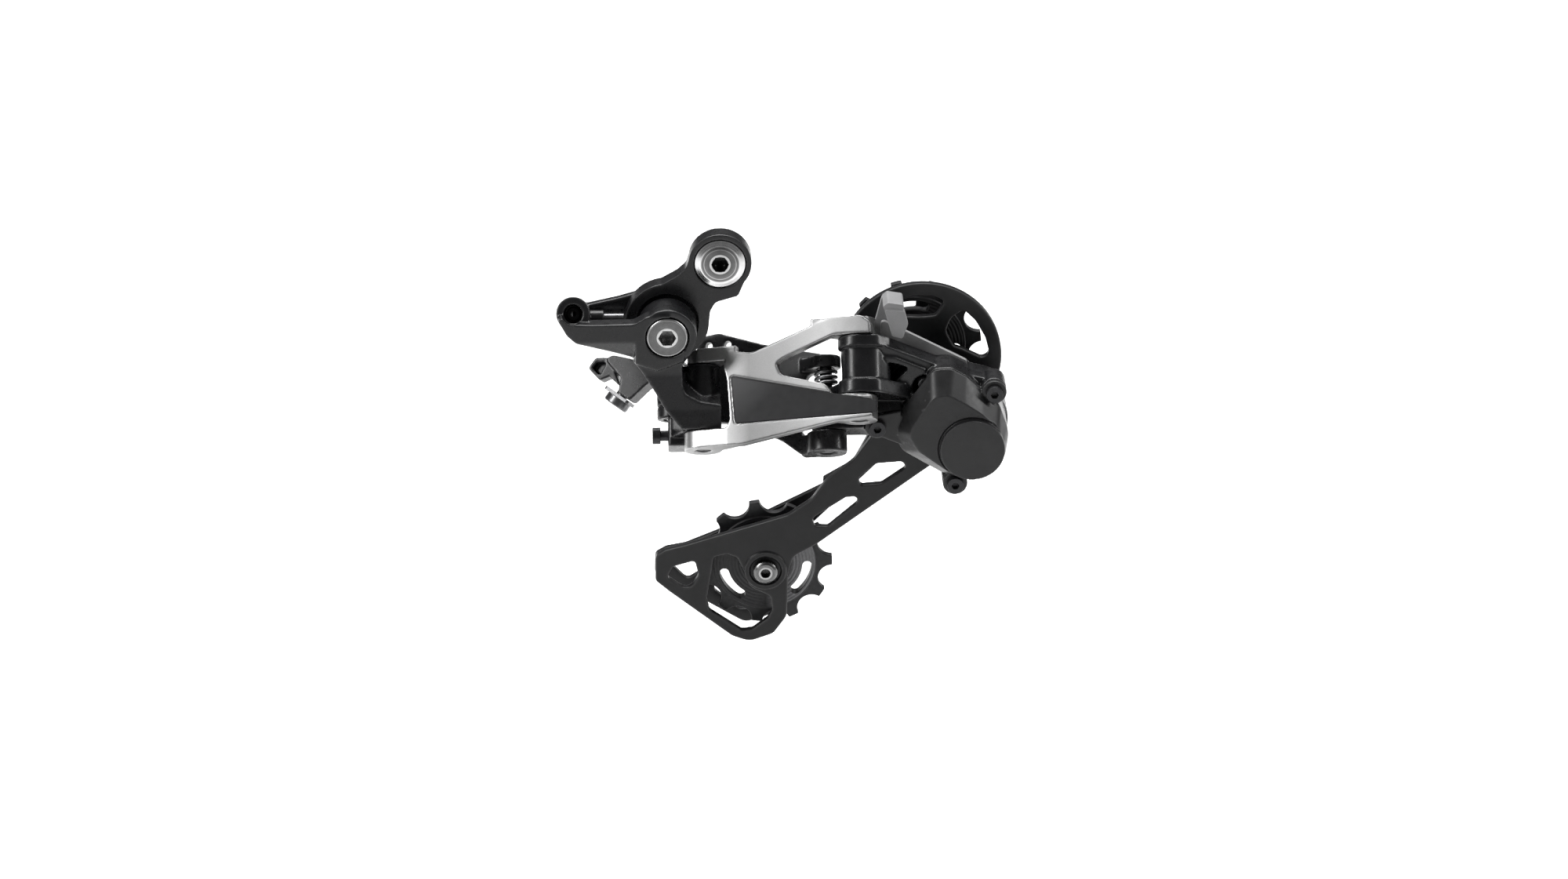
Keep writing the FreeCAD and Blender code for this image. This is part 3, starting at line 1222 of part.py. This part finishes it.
def pulleys():
    """Guide pulley above and tension pulley below."""
    pulley("guide_pulley", mm("guide_x"), mm("guide_z"), 104.8)
    pulley("tension_pulley", mm("tension_x"), mm("tension_z"), 99.2)


for build in (
        bracket_link, hanger_bolt, pivot_bolt, pivot_bushing, pivot_spring, body, screws, housing_ferrule,
        outer_link, inner_link, cable_clamp, cable_anchor, link_pins, link_bushes, return_spring,
        cage_knuckle, fin_plate, clutch_cover, cover_gasket, cover_bolts, clutch, clutch_lever, cage_axle,
        cage_spring, outer_cage_plate, inner_cage_plate, stop_pin, pulleys):
    build()


def write_parts():
    """Checks every object and every sub-part, then writes one file per sub-part."""
    doc.recompute()
    faults = []
    for item in doc.Objects:
        if "Invalid" in item.State or "Error" in item.State:
            faults.append("%s: %s" % (item.Name, item.State))
    for item in pieces:
        if item.Shape.isNull() or not item.Shape.isValid():
            faults.append("%s has no valid shape" % item.Label)
        elif not item.Shape.Solids:
            faults.append("%s has no solid" % item.Label)
    if faults:
        raise RuntimeError("; ".join(faults))
    os.makedirs("parts", exist_ok=True)
    for item in pieces:
        item.Shape.exportStep(os.path.join("parts", item.Label + ".step"))


write_parts()
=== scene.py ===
"""Studio scene of a rear derailleur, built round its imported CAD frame.

Lengths are in millimetres, and MM scales them to metres for Blender. Lengths of the stage and
lengths read from the CAD frame are in metres.
+X points forward along the bicycle, +Y inboard towards the wheel, and +Z up.
Castings and cage plates are re-surfaced from their CAD solids, so that their edges are round.
The other pieces keep their CAD solids. Most get fine bevels; the hanger bolt, the springs and the
clutch's ring and band don't.
"""
import json
import math

import bpy
from mathutils import Matrix, Vector


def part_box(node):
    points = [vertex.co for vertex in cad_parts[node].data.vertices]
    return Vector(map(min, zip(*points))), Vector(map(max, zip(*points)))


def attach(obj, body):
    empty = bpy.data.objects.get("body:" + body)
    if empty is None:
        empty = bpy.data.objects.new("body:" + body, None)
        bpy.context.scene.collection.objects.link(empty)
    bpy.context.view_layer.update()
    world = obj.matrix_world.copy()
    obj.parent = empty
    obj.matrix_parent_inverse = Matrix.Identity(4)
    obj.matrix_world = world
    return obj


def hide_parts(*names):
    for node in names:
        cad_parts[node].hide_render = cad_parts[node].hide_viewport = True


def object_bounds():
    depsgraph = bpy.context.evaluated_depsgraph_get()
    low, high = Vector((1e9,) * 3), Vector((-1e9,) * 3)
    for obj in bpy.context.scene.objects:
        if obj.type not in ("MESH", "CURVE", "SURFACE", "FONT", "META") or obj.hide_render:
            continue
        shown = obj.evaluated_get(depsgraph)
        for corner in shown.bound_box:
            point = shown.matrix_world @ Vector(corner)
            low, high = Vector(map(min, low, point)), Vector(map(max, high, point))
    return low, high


MM = 0.001
BLACK = (0.0, 0.0, 0.0)

# The outer link: the parallelogram's slant, its first pin, the way from pin to pin, and its face.
SLANT = math.radians(38.0)
OUTER_PIN = Vector((-6.0, 22.5, 0.0))
LINK_RUN = 50.3
LINK_DROP = 16.05
LINK_ANGLE = math.atan2(-LINK_DROP, LINK_RUN)
LINK_LENGTH = math.hypot(LINK_RUN, LINK_DROP)
LINK_FRONT = -6.4

# The panel on the link's face: how deep its front and back lie, and how far it passes the far pin.
PANEL_FRONT = 0.35
PANEL_BACK = 0.75
PANEL_PAST_PIN = 7.5
PANEL_BEVEL = 0.15

# How CAD nodes are dressed.
WELD_GAP = 0.002
FLAT_ANGLE = math.radians(0.6)
BEVEL_ANGLE = math.radians(32)
SPLIT_ANGLE = math.radians(25)
BEVEL_SEGMENTS = 2

# (radius, brightness) from a bolt's axis outwards: socket, its rim, the face, the outer bevel; the
# brightness is painted highlight and shade.
HANGER_PAINTED_LIGHT = [(0, 0.03), (2.6, 0.05), (2.8, 0.6), (3.3, 0.6), (3.5, 0.12), (5.0, 0.18),
                (5.2, 0.55), (5.4, 0.16), (6.0, 0.2), (6.3, 0.85), (8.2, 0.8)]
PIVOT_PAINTED_LIGHT = [(0, 0.1), (2.5, 0.3), (2.7, 0.7), (3.3, 0.6), (3.5, 0.16), (6.0, 0.13),
               (6.2, 0.4), (7.5, 0.3)]
PULLEY_BOLT_PAINTED_LIGHT = [(0, 0.04), (1.6, 0.06), (1.8, 0.45), (2.2, 0.4), (2.4, 0.14), (4.0, 0.2)]
LATHE_RINGS = 9.0
LATHE_GROOVE = 0.004

# (place along X, brightness) of painted light and shade on the outer link's silver paint.
LINK_PAINTED_SHADES = [(-16, 0.52), (0, 0.44), (9, 0.2), (20, 0.27), (34, 0.42), (46, 0.25), (60, 0.12)]

# The pulleys' printed band lies between two radii; it shows only right of the disc's centre, fading
# in over a width to the right.
BAND_INNER = 8.8
BAND_OUTER = 16.7
BAND_EDGE = 0.15
BAND_FADE = 4.0
PULLEY_RINGS = 5.5

# The stage, in metres, apart from FLOOR_DROP, CAMERA_TARGET and the sensor, in millimetres.
FLOOR_DROP = 60
FLOOR_HALF = 6.0
SURROUND_STRENGTH = 0.13
CAMERA_TARGET = Vector((20.6, -6.5, -62.9))
CAMERA_AZIMUTH = math.radians(-1.5)
CAMERA_ELEVATION = math.radians(26.0)
CAMERA_DISTANCE = 1.6
SENSOR_WIDTH = 36.0
LENS_PER_METRE = 70.0

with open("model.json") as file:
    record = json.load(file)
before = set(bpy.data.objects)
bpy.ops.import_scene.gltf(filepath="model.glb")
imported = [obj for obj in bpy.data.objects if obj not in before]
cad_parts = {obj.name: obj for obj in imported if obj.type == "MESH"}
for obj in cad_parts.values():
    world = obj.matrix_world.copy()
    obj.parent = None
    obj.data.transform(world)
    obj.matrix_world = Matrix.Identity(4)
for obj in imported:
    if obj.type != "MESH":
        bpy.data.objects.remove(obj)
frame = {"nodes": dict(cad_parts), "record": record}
cad_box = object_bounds()
NODES = frame["nodes"]
BODY_OF = {}
for body_name, members in frame["record"]["behaviour"]["bodies"].items():
    for member in members:
        BODY_OF[member] = body_name


# ---------------------------------------------------------------- geometry helpers

def slant_matrix():
    """Turns the slanted frame of the parallelogram into the row frame."""
    return Matrix.Rotation(-SLANT, 4, "X")


def outer_link_matrix():
    """Turns the outer link's own frame into the row frame."""
    return slant_matrix() @ Matrix.Translation(OUTER_PIN) @ Matrix.Rotation(LINK_ANGLE, 4, "Z")


def middle(node):
    """The centre of a node's box, in metres."""
    low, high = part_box(node)
    return (low + high) / 2


def new_object(name, mesh):
    """A linked object with the given mesh."""
    made = bpy.data.objects.new(name, mesh)
    bpy.context.scene.collection.objects.link(made)
    return made


def forget_normals(mesh):
    """Drops the normals that came with the file, so that the modifiers' own ones show."""
    if "custom_normal" in mesh.attributes:
        mesh.attributes.remove(mesh.attributes["custom_normal"])


def set_smooth(mesh):
    """Smooth shading on every face."""
    mesh.polygons.foreach_set("use_smooth", [True] * len(mesh.polygons))
    mesh.update()


def paint(thing, *materials):
    """Gives an object its materials and nothing else."""
    thing.data.materials.clear()
    for material in materials:
        thing.data.materials.append(material)


def dress(node, material):
    """A CAD node with its material, smooth shading and welded corners."""
    thing = NODES[node]
    forget_normals(thing.data)
    set_smooth(thing.data)
    paint(thing, material)
    weld = thing.modifiers.new("weld", "WELD")
    weld.merge_threshold = WELD_GAP * MM
    return thing


def crisp(node, material, width):
    """A CAD node with its material and finely bevelled edges."""
    thing = dress(node, material)
    planar = thing.modifiers.new("planar", "DECIMATE")
    planar.decimate_type = "DISSOLVE"
    planar.angle_limit = FLAT_ANGLE
    bevel = thing.modifiers.new("bevel", "BEVEL")
    bevel.width = width * MM
    bevel.segments = BEVEL_SEGMENTS
    bevel.limit_method = "ANGLE"
    bevel.angle_limit = BEVEL_ANGLE
    bevel.miter_outer = "MITER_ARC"
    normals = thing.modifiers.new("normals", "WEIGHTED_NORMAL")
    normals.keep_sharp = True


def plain(node, material):
    """A CAD node with its material and no bevels but its own."""
    split = dress(node, material).modifiers.new("split", "EDGE_SPLIT")
    split.split_angle = SPLIT_ANGLE


def joined_mesh(name, nodes):
    """One mesh that holds the solids of several CAD nodes, in the row frame."""
    corners = []
    faces = []
    for node in nodes:
        thing = NODES[node]
        start = len(corners)
        corners += [thing.matrix_world @ vertex.co for vertex in thing.data.vertices]
        faces += [[start + index for index in polygon.vertices] for polygon in thing.data.polygons]
    mesh = bpy.data.meshes.new(name)
    mesh.from_pydata(corners, [], faces)
    return mesh


def casting(nodes, material, voxel=0.3, passes=5):
    """A cast piece: its CAD solids re-surfaced with round edges, in place of their nodes."""
    node = nodes[0]
    rough = new_object(node + "_rough", joined_mesh(node + "_rough", nodes))
    remesh = rough.modifiers.new("surface", "REMESH")
    remesh.mode = "VOXEL"
    remesh.voxel_size = voxel * MM
    remesh.use_smooth_shade = True
    relax = rough.modifiers.new("relax", "SMOOTH")
    relax.factor = 0.5
    relax.iterations = passes
    graph = bpy.context.evaluated_depsgraph_get()
    mesh = bpy.data.meshes.new_from_object(rough.evaluated_get(graph))
    bpy.data.objects.remove(rough)
    thing = new_object(node + "_casting", mesh)
    set_smooth(mesh)
    paint(thing, material)
    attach(thing, BODY_OF[node])
    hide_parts(*nodes)


# ---------------------------------------------------------------- material helpers

class Recipe:
    """A material under construction: its tree, its shader and the point that its patterns read."""

    def __init__(self, name):
        self.material = bpy.data.materials.new(name)
        self.material.use_nodes = True
        self.tree = self.material.node_tree
        self.shader = self.tree.nodes["Principled BSDF"]
        self.point = self.tree.nodes.new("ShaderNodeTexCoord").outputs["Object"]

    def node(self, kind, **settings):
        """A node with its own settings."""
        made = self.tree.nodes.new(kind)
        for key, value in settings.items():
            setattr(made, key, value)
        return made

    def join(self, source, target):
        """A link from an output to an input."""
        self.tree.links.new(source, target)

    def noise(self, per_mm, detail=3.0, stretch=(1, 1, 1)):
        """A noise between 0 and 1 with the given number of cells to a millimetre."""
        mapping = self.node("ShaderNodeMapping")
        mapping.inputs["Scale"].default_value = [per_mm / MM * part for part in stretch]
        self.join(self.point, mapping.inputs["Vector"])
        noise = self.node("ShaderNodeTexNoise")
        noise.inputs["Scale"].default_value = 1.0
        noise.inputs["Detail"].default_value = detail
        self.join(mapping.outputs["Vector"], noise.inputs["Vector"])
        return noise.outputs["Fac"]

    def span(self, value, low, high, start=0.3, end=0.7):
        """A value stretched from start..end to low..high."""
        ramp = self.node("ShaderNodeMapRange")
        for key, number in (("From Min", start), ("From Max", end),
                            ("To Min", low), ("To Max", high)):
            ramp.inputs[key].default_value = number
        self.join(value, ramp.inputs["Value"])
        return ramp.outputs["Result"]

    def blend(self, factor, first, second):
        """A colour between two, each a colour or an output."""
        mix = self.node("ShaderNodeMix", data_type="RGBA")
        self.join(factor, mix.inputs["Factor"])
        for socket, colour in ((mix.inputs[6], first), (mix.inputs[7], second)):
            if isinstance(colour, bpy.types.NodeSocket):
                self.join(colour, socket)
            else:
                socket.default_value = (*colour, 1.0)
        return mix.outputs[2]

    def math(self, operation, first, second=None):
        """One step of arithmetic on outputs or numbers."""
        step = self.node("ShaderNodeMath", operation=operation)
        for index, value in enumerate((first, second)):
            if isinstance(value, bpy.types.NodeSocket):
                self.join(value, step.inputs[index])
            elif value is not None:
                step.inputs[index].default_value = value
        return step.outputs[0]

    def bump(self, height, depth_mm):
        """Relief of the given depth, on top of any relief already there."""
        bump = self.node("ShaderNodeBump")
        bump.inputs["Strength"].default_value = 1.0
        bump.inputs["Distance"].default_value = depth_mm * MM
        self.join(height, bump.inputs["Height"])
        normal = self.shader.inputs["Normal"]
        if normal.links:
            self.join(normal.links[0].from_socket, bump.inputs["Normal"])
        self.join(bump.outputs["Normal"], normal)

    def colour(self, socket):
        """Sends an output to the shader's colour."""
        self.join(socket, self.shader.inputs["Base Color"])

    def roughness(self, socket):
        """Sends an output to the shader's roughness."""
        self.join(socket, self.shader.inputs["Roughness"])

    def metallic(self, value):
        """How much of a metal the surface is."""
        self.shader.inputs["Metallic"].default_value = value

    def specular(self, value):
        """How strongly a surface that isn't metal reflects."""
        self.shader.inputs["Specular IOR Level"].default_value = value

    def geometry(self, name):
        """An output of the surface itself."""
        return self.node("ShaderNodeNewGeometry").outputs[name]

    def split(self, vector):
        """The X, Y and Z outputs of a vector."""
        parts = self.node("ShaderNodeSeparateXYZ")
        self.join(vector, parts.inputs[0])
        return parts.outputs

    def edges(self):
        """About 1 on convex edges and 0 elsewhere."""
        return self.span(self.geometry("Pointiness"), 0.0, 1.0, 0.5, 0.56)

    def steps(self, value, places):
        """A grey that runs through (value, brightness) pairs."""
        first, last = places[0][0], places[-1][0]
        curve = self.node("ShaderNodeValToRGB")
        marks = curve.color_ramp.elements
        while len(marks) < len(places):
            marks.new(0.5)
        for mark, (place, grey) in zip(marks, places):
            mark.position = (place - first) / (last - first)
            mark.color = (grey, grey, grey, 1.0)
        self.join(self.span(value, 0, 1, first, last), curve.inputs["Fac"])
        return curve.outputs["Color"]

    def radius(self, centre):
        """Distance in millimetres from an axis along Y through a point given in metres."""
        parts = self.split(self.point)
        x = self.math("SUBTRACT", parts["X"], centre.x)
        z = self.math("SUBTRACT", parts["Z"], centre.z)
        square = self.math("ADD", self.math("MULTIPLY", x, x), self.math("MULTIPLY", z, z))
        return self.math("DIVIDE", self.math("SQRT", square), MM)


def cast_paint(name, dark, light, rough, grain, edge_wear_and_highlight, worn=0.3, specular=0.3):
    """Satin paint on cast metal: fine grain, faint mottling, and convex edges lightened partly as
    wear and partly as a painted highlight.
    """
    recipe = Recipe(name)
    base = recipe.blend(recipe.span(recipe.noise(0.12), 0, 1), dark, light)
    speck = recipe.span(recipe.noise(4.0, 2.0), 0.0, 0.3, 0.5, 0.75)
    base = recipe.blend(speck, base, [part * 1.25 for part in light])
    # Convex edges lightened: partly wear, partly a painted highlight.
    base = recipe.blend(recipe.math("MULTIPLY", recipe.edges(), worn), base, edge_wear_and_highlight)
    recipe.colour(base)
    recipe.roughness(recipe.span(recipe.noise(0.5), rough - 0.04, rough + 0.05))
    recipe.metallic(0.0)
    recipe.specular(specular)
    recipe.bump(recipe.noise(3.2, 3.0), grain)
    recipe.bump(recipe.noise(0.35, 2.0), grain)
    return recipe.material


def turned_metal(node, bands, rough):
    """Metal turned on a lathe: faint rings round the node's axis, and bands of painted highlight and
    shade.
    """
    recipe = Recipe(node + "_metal")
    radius = recipe.radius(middle(node))
    # Painted highlight and shade in rings by radius: a dark socket, bright rims and a bright bevel.
    shade = recipe.steps(radius, bands)
    wave = recipe.math("SINE", recipe.math("MULTIPLY", radius, LATHE_RINGS))
    uneven = recipe.math("MULTIPLY", wave, recipe.noise(0.4))
    recipe.colour(recipe.blend(recipe.span(recipe.noise(0.5), 0.0, 0.15), shade, BLACK))
    recipe.roughness(recipe.span(uneven, rough - 0.03, rough + 0.05, -0.5, 0.5))
    recipe.metallic(1.0)
    recipe.bump(uneven, LATHE_GROOVE)
    return recipe.material


def drawn_metal(name, colour, rough, stretch=(1, 1, 1), metallic=1.0):
    """Ground or drawn steel with fine lines along one direction."""
    recipe = Recipe(name)
    lines = recipe.noise(3.0, 3.0, stretch)
    darker = [part * 0.8 for part in colour]
    recipe.colour(recipe.blend(recipe.span(lines, 0, 1), darker, colour))
    recipe.roughness(recipe.span(recipe.noise(0.8), rough - 0.05, rough + 0.08))
    recipe.metallic(metallic)
    recipe.bump(lines, 0.005)
    return recipe.material


def moulded_plastic(name, dark, light, rough):
    """Moulded plastic with a matt grain and a few fine scuffs."""
    recipe = Recipe(name)
    scuff = recipe.span(recipe.noise(1.4, 6.0, (1, 1, 6)), 0.0, 0.6, 0.58, 0.74)
    recipe.colour(recipe.blend(scuff, dark, light))
    recipe.roughness(recipe.span(recipe.noise(1.0), rough - 0.06, rough + 0.08))
    recipe.specular(0.35)
    recipe.bump(recipe.noise(4.5, 2.0), 0.015)
    return recipe.material


def facing(recipe):
    """1 on faces square to the Y axis and 0 on the others."""
    parts = recipe.split(recipe.geometry("Normal"))
    return recipe.span(recipe.math("ABSOLUTE", parts["Y"]), 0, 1, 0.85, 0.95)


def pulley_plastic(name, node, band_colour):
    """Black plastic with a printed band, shown only on the disc's right half, and rings inside its
    rim.
    """
    recipe = Recipe(name)
    centre = middle(node)
    radius = recipe.radius(centre)
    flat = facing(recipe)
    inside = recipe.span(radius, 1, 0, BAND_OUTER - BAND_EDGE, BAND_OUTER + BAND_EDGE)
    outside = recipe.span(radius, 0, 1, BAND_INNER - BAND_EDGE, BAND_INNER + BAND_EDGE)
    band = recipe.math("MULTIPLY", outside, inside)
    across = recipe.split(recipe.point)["X"]
    side = recipe.math("DIVIDE", recipe.math("SUBTRACT", across, centre.x), MM)
    # The band shows only right of the centre, fading in towards the right.
    band = recipe.math("MULTIPLY", band, recipe.span(side, 0, 1, 0.0, BAND_FADE))
    mask = recipe.math("MULTIPLY", band, flat)
    mottle = recipe.span(recipe.noise(0.8), 0, 1)
    black = recipe.blend(mottle, (0.007, 0.007, 0.008), (0.014, 0.014, 0.015))
    darker = [part * 0.8 for part in band_colour]
    worn = recipe.blend(recipe.span(recipe.noise(2.0, 6.0), 0, 1), band_colour, darker)
    recipe.colour(recipe.blend(mask, black, worn))
    recipe.roughness(recipe.span(recipe.noise(1.0), 0.36, 0.5))
    recipe.specular(0.35)
    recipe.bump(recipe.noise(4.5, 2.0), 0.012)
    wave = recipe.math("SINE", recipe.math("MULTIPLY", radius, PULLEY_RINGS))
    recipe.bump(recipe.math("MULTIPLY", recipe.math("MULTIPLY", wave, inside), flat), 0.05)
    return recipe.material


# ---------------------------------------------------------------- materials of the pieces

def build_castings():
    """Body, knuckle, links, bracket link and the other cast pieces."""
    black = cast_paint("cast_black", (0.005, 0.005, 0.0055), (0.008, 0.008, 0.009), 0.29,
                       grain=0.01, edge_wear_and_highlight=(0.1, 0.1, 0.102), specular=0.4)
    casting(["body", "housing_stop"], black, passes=14)
    for node in ("cage_knuckle", "inner_link"):
        casting([node], black, passes=14)
    casting(["bracket_link"], black, voxel=0.2, passes=14)
    casting(["cable_clamp_arm"], black)
    cover = cast_paint("cover_grey", (0.012, 0.012, 0.0125), (0.017, 0.017, 0.0175), 0.38,
                       grain=0.015, edge_wear_and_highlight=(0.1, 0.1, 0.102), specular=0.35)
    casting(["clutch_cover"], cover, voxel=0.25, passes=3)
    casting(["outer_link"], link_silver(), voxel=0.25, passes=12)
    grey = cast_paint("lever_grey", (0.2, 0.2, 0.203), (0.24, 0.24, 0.243), 0.45,
                      grain=0.008, edge_wear_and_highlight=(0.4, 0.4, 0.4))
    casting(["clutch_lever"], grey, voxel=0.15, passes=3)
    crisp("fin_plate", grey, 0.12)


def link_silver():
    """Satin silver paint with painted light and shade, darker and lighter along the link."""
    recipe = Recipe("link_silver")
    along = recipe.math("DIVIDE", recipe.split(recipe.point)["X"], MM)
    # Painted light and shade along the link, darker and lighter in turn.
    shade = recipe.steps(along, LINK_PAINTED_SHADES)
    recipe.colour(recipe.blend(recipe.span(recipe.noise(2.5, 2.0), 0.0, 0.08), shade, BLACK))
    recipe.roughness(recipe.span(recipe.noise(0.4), 0.3, 0.36))
    recipe.metallic(0.85)
    recipe.bump(recipe.noise(0.3, 1.0), 0.004)
    return recipe.material


def panel_grey():
    """Dark paint with a painted sheen that lightens it to grey towards the top left corner of the
    panel.
    """
    recipe = Recipe("panel_grey")
    parts = recipe.split(recipe.point)
    # The painted sheen runs along a leaning line, from start to end in metres.
    lean, start, end = 0.9, -0.0545, -0.041
    along = recipe.math("SUBTRACT", parts["Z"], recipe.math("MULTIPLY", parts["X"], lean))
    painted_sheen = recipe.span(along, 0, 1, start, end)
    mottle = recipe.span(recipe.noise(0.15), 0, 1)
    uneven = recipe.blend(mottle, (0.012, 0.012, 0.013), (0.016, 0.016, 0.017))
    # Painted sheen: grey towards the top left over the dark paint.
    recipe.colour(recipe.blend(painted_sheen, uneven, (0.08, 0.08, 0.082)))
    recipe.roughness(recipe.span(recipe.noise(0.5), 0.28, 0.38))
    recipe.specular(0.2)
    recipe.bump(recipe.noise(3.2), 0.006)
    return recipe.material


def build_panel():
    """The dark sunk panel on the outer link's face."""
    right = LINK_LENGTH + PANEL_PAST_PIN
    points = [(11.9, -36.9), (right, -48.4), (right, -52.3), (12.9, -52.4)]
    front, back = LINK_FRONT + PANEL_FRONT, LINK_FRONT + PANEL_BACK
    corners = [Vector((x, depth, z)) for depth in (front, back) for x, z in points]
    count = len(points)
    faces = [tuple(range(count)), tuple(range(2 * count - 1, count - 1, -1))]
    for index in range(count):
        after = (index + 1) % count
        faces.append((index, index + count, after + count, after))
    place = outer_link_matrix()
    mesh = bpy.data.meshes.new("outer_link_panel")
    mesh.from_pydata([(place @ corner) * MM for corner in corners], [], faces)
    mesh.update()
    thing = new_object("outer_link_panel", mesh)
    paint(thing, panel_grey())
    bevel = thing.modifiers.new("bevel", "BEVEL")
    bevel.width = PANEL_BEVEL * MM
    bevel.segments = BEVEL_SEGMENTS
    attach(thing, BODY_OF["outer_link"])


def build_bolts():
    """Bolts, screws, pins and the cable's anchor. Four bolt heads get rings of painted highlight and
    shade.
    """
    plain("hanger_bolt", turned_metal("hanger_bolt", HANGER_PAINTED_LIGHT, 0.2))
    crisp("pivot_bolt", turned_metal("pivot_bolt", PIVOT_PAINTED_LIGHT, 0.3), 0.12)
    for node in ("guide_pulley_bolt", "tension_pulley_bolt"):
        crisp(node, turned_metal(node, PULLEY_BOLT_PAINTED_LIGHT, 0.28), 0.1)
    steel = drawn_metal("screw_steel", (0.2, 0.2, 0.205), 0.32, (1, 1, 0.2))
    for node in ("tension_screw", "cable_anchor_bolt", "cable_anchor_plate", "lever_shaft"):
        crisp(node, steel, 0.1)
    black = drawn_metal("blackened_steel", (0.03, 0.03, 0.032), 0.34, (1, 1, 0.2), metallic=0.6)
    for node in ("cover_bolts", "limit_screw_high", "limit_screw_low", "axle_rivet", "cage_stop_pin"):
        crisp(node, black, 0.12)
    ground = drawn_metal("pin_steel", (0.12, 0.12, 0.122), 0.3, (1, 1, 0.1))
    for node in ("outer_body_pin", "inner_body_pin", "outer_cage_pin", "inner_cage_pin",
                 "cage_axle", "axle_clip"):
        crisp(node, ground, 0.1)


def build_hidden_pieces():
    """Bushes, liner, springs, gasket, sleeves and the clutch's ring and band."""
    bush = moulded_plastic("bush_plastic", (0.015, 0.015, 0.016), (0.03, 0.03, 0.03), 0.5)
    for node in ("pivot_bushing", "housing_liner", "outer_link_bushes", "inner_link_bushes",
                 "guide_pulley_bush", "tension_pulley_bush"):
        crisp(node, bush, 0.05)
    spring = drawn_metal("spring_steel", (0.25, 0.25, 0.255), 0.32)
    for node in ("pivot_spring", "return_spring", "cage_spring", "friction_band", "roller_clutch"):
        plain(node, spring)
    rubber = moulded_plastic("gasket_rubber", (0.01, 0.01, 0.01), (0.02, 0.02, 0.02), 0.7)
    crisp("cover_gasket", rubber, 0.05)
    bronze = drawn_metal("sleeve_bronze", (0.45, 0.33, 0.17), 0.35)
    for node in ("guide_pulley_sleeve", "tension_pulley_sleeve"):
        crisp(node, bronze, 0.05)


def build_cage():
    """Cage plates, pulleys and their dust caps."""
    plate = cast_paint("plate_black", (0.008, 0.008, 0.0085), (0.012, 0.012, 0.0125), 0.33,
                       grain=0.008, edge_wear_and_highlight=(0.1, 0.1, 0.1), worn=0.45, specular=0.25)
    for node in ("outer_cage_plate", "inner_cage_plate"):
        casting([node], plate, voxel=0.25, passes=3)
    for node in ("guide_pulley_caps", "tension_pulley_caps"):
        crisp(node, plate, 0.1)
    guide = pulley_plastic("guide_plastic", "guide_pulley", (0.02, 0.02, 0.021))
    crisp("guide_pulley", guide, 0.25)
    tension = pulley_plastic("tension_plastic", "tension_pulley", (0.16, 0.16, 0.165))
    crisp("tension_pulley", tension, 0.25)


# ---------------------------------------------------------------- stage

def build_floor():
    """A wide pale floor under the hanging object."""
    height = cad_box[0].z - FLOOR_DROP * MM
    sides = ((-1, -1), (1, -1), (1, 1), (-1, 1))
    corners = [(FLOOR_HALF * x, FLOOR_HALF * y, height) for x, y in sides]
    mesh = bpy.data.meshes.new("floor")
    mesh.from_pydata(corners, [], [(0, 1, 2, 3)])
    floor = new_object("floor", mesh)
    recipe = Recipe("floor_paper")
    mottle = recipe.span(recipe.noise(0.01), 0, 1)
    recipe.colour(recipe.blend(mottle, (0.9, 0.9, 0.9), (0.92, 0.92, 0.92)))
    recipe.shader.inputs["Roughness"].default_value = 0.9
    recipe.specular(0.1)
    paint(floor, recipe.material)


def softbox(name, place, target, width, height, power):
    """A rectangular soft light that faces a point."""
    data = bpy.data.lights.new(name, "AREA")
    data.shape = "RECTANGLE"
    data.size = width
    data.size_y = height
    data.energy = power
    light = bpy.data.objects.new(name, data)
    bpy.context.scene.collection.objects.link(light)
    light.location = place
    light.rotation_euler = (Vector(target) - Vector(place)).to_track_quat("-Z", "Y").to_euler()


def build_lights():
    """An overhead softbox, a lower one on each side, and an even pale surround."""
    target = (cad_box[0] + cad_box[1]) / 2
    softbox("back_overhead", (0.0, 0.55, 0.95), (0.0, 0.3, -0.2),
            width=1.3, height=0.7, power=24)
    softbox("left_strip", (-0.9, -0.45, 0.6), target, width=0.2, height=0.8, power=9)
    softbox("right_strip", (0.95, -0.1, 0.5), target, width=0.15, height=0.8, power=6)
    world = bpy.data.worlds.new("surround")
    bpy.context.scene.world = world
    world.use_nodes = True
    background = world.node_tree.nodes["Background"]
    background.inputs["Color"].default_value = (1.0, 1.0, 1.0, 1.0)
    background.inputs["Strength"].default_value = SURROUND_STRENGTH


def build_camera():
    """A long lens that looks down a little from the outboard side."""
    level = math.cos(CAMERA_ELEVATION)
    back = Vector((math.sin(CAMERA_AZIMUTH) * level, -math.cos(CAMERA_AZIMUTH) * level,
                   math.sin(CAMERA_ELEVATION)))
    data = bpy.data.cameras.new("camera")
    data.sensor_width = SENSOR_WIDTH
    data.lens = LENS_PER_METRE * CAMERA_DISTANCE
    data.clip_start = 0.05
    camera = bpy.data.objects.new("camera", data)
    bpy.context.scene.collection.objects.link(camera)
    camera.location = CAMERA_TARGET * MM + back * CAMERA_DISTANCE
    camera.rotation_euler = (-back).to_track_quat("-Z", "Y").to_euler()
    bpy.context.scene.camera = camera


build_castings()
build_panel()
build_bolts()
build_hidden_pieces()
build_cage()
build_floor()
build_lights()
build_camera()
bpy.context.scene.view_settings.view_transform = "Standard"
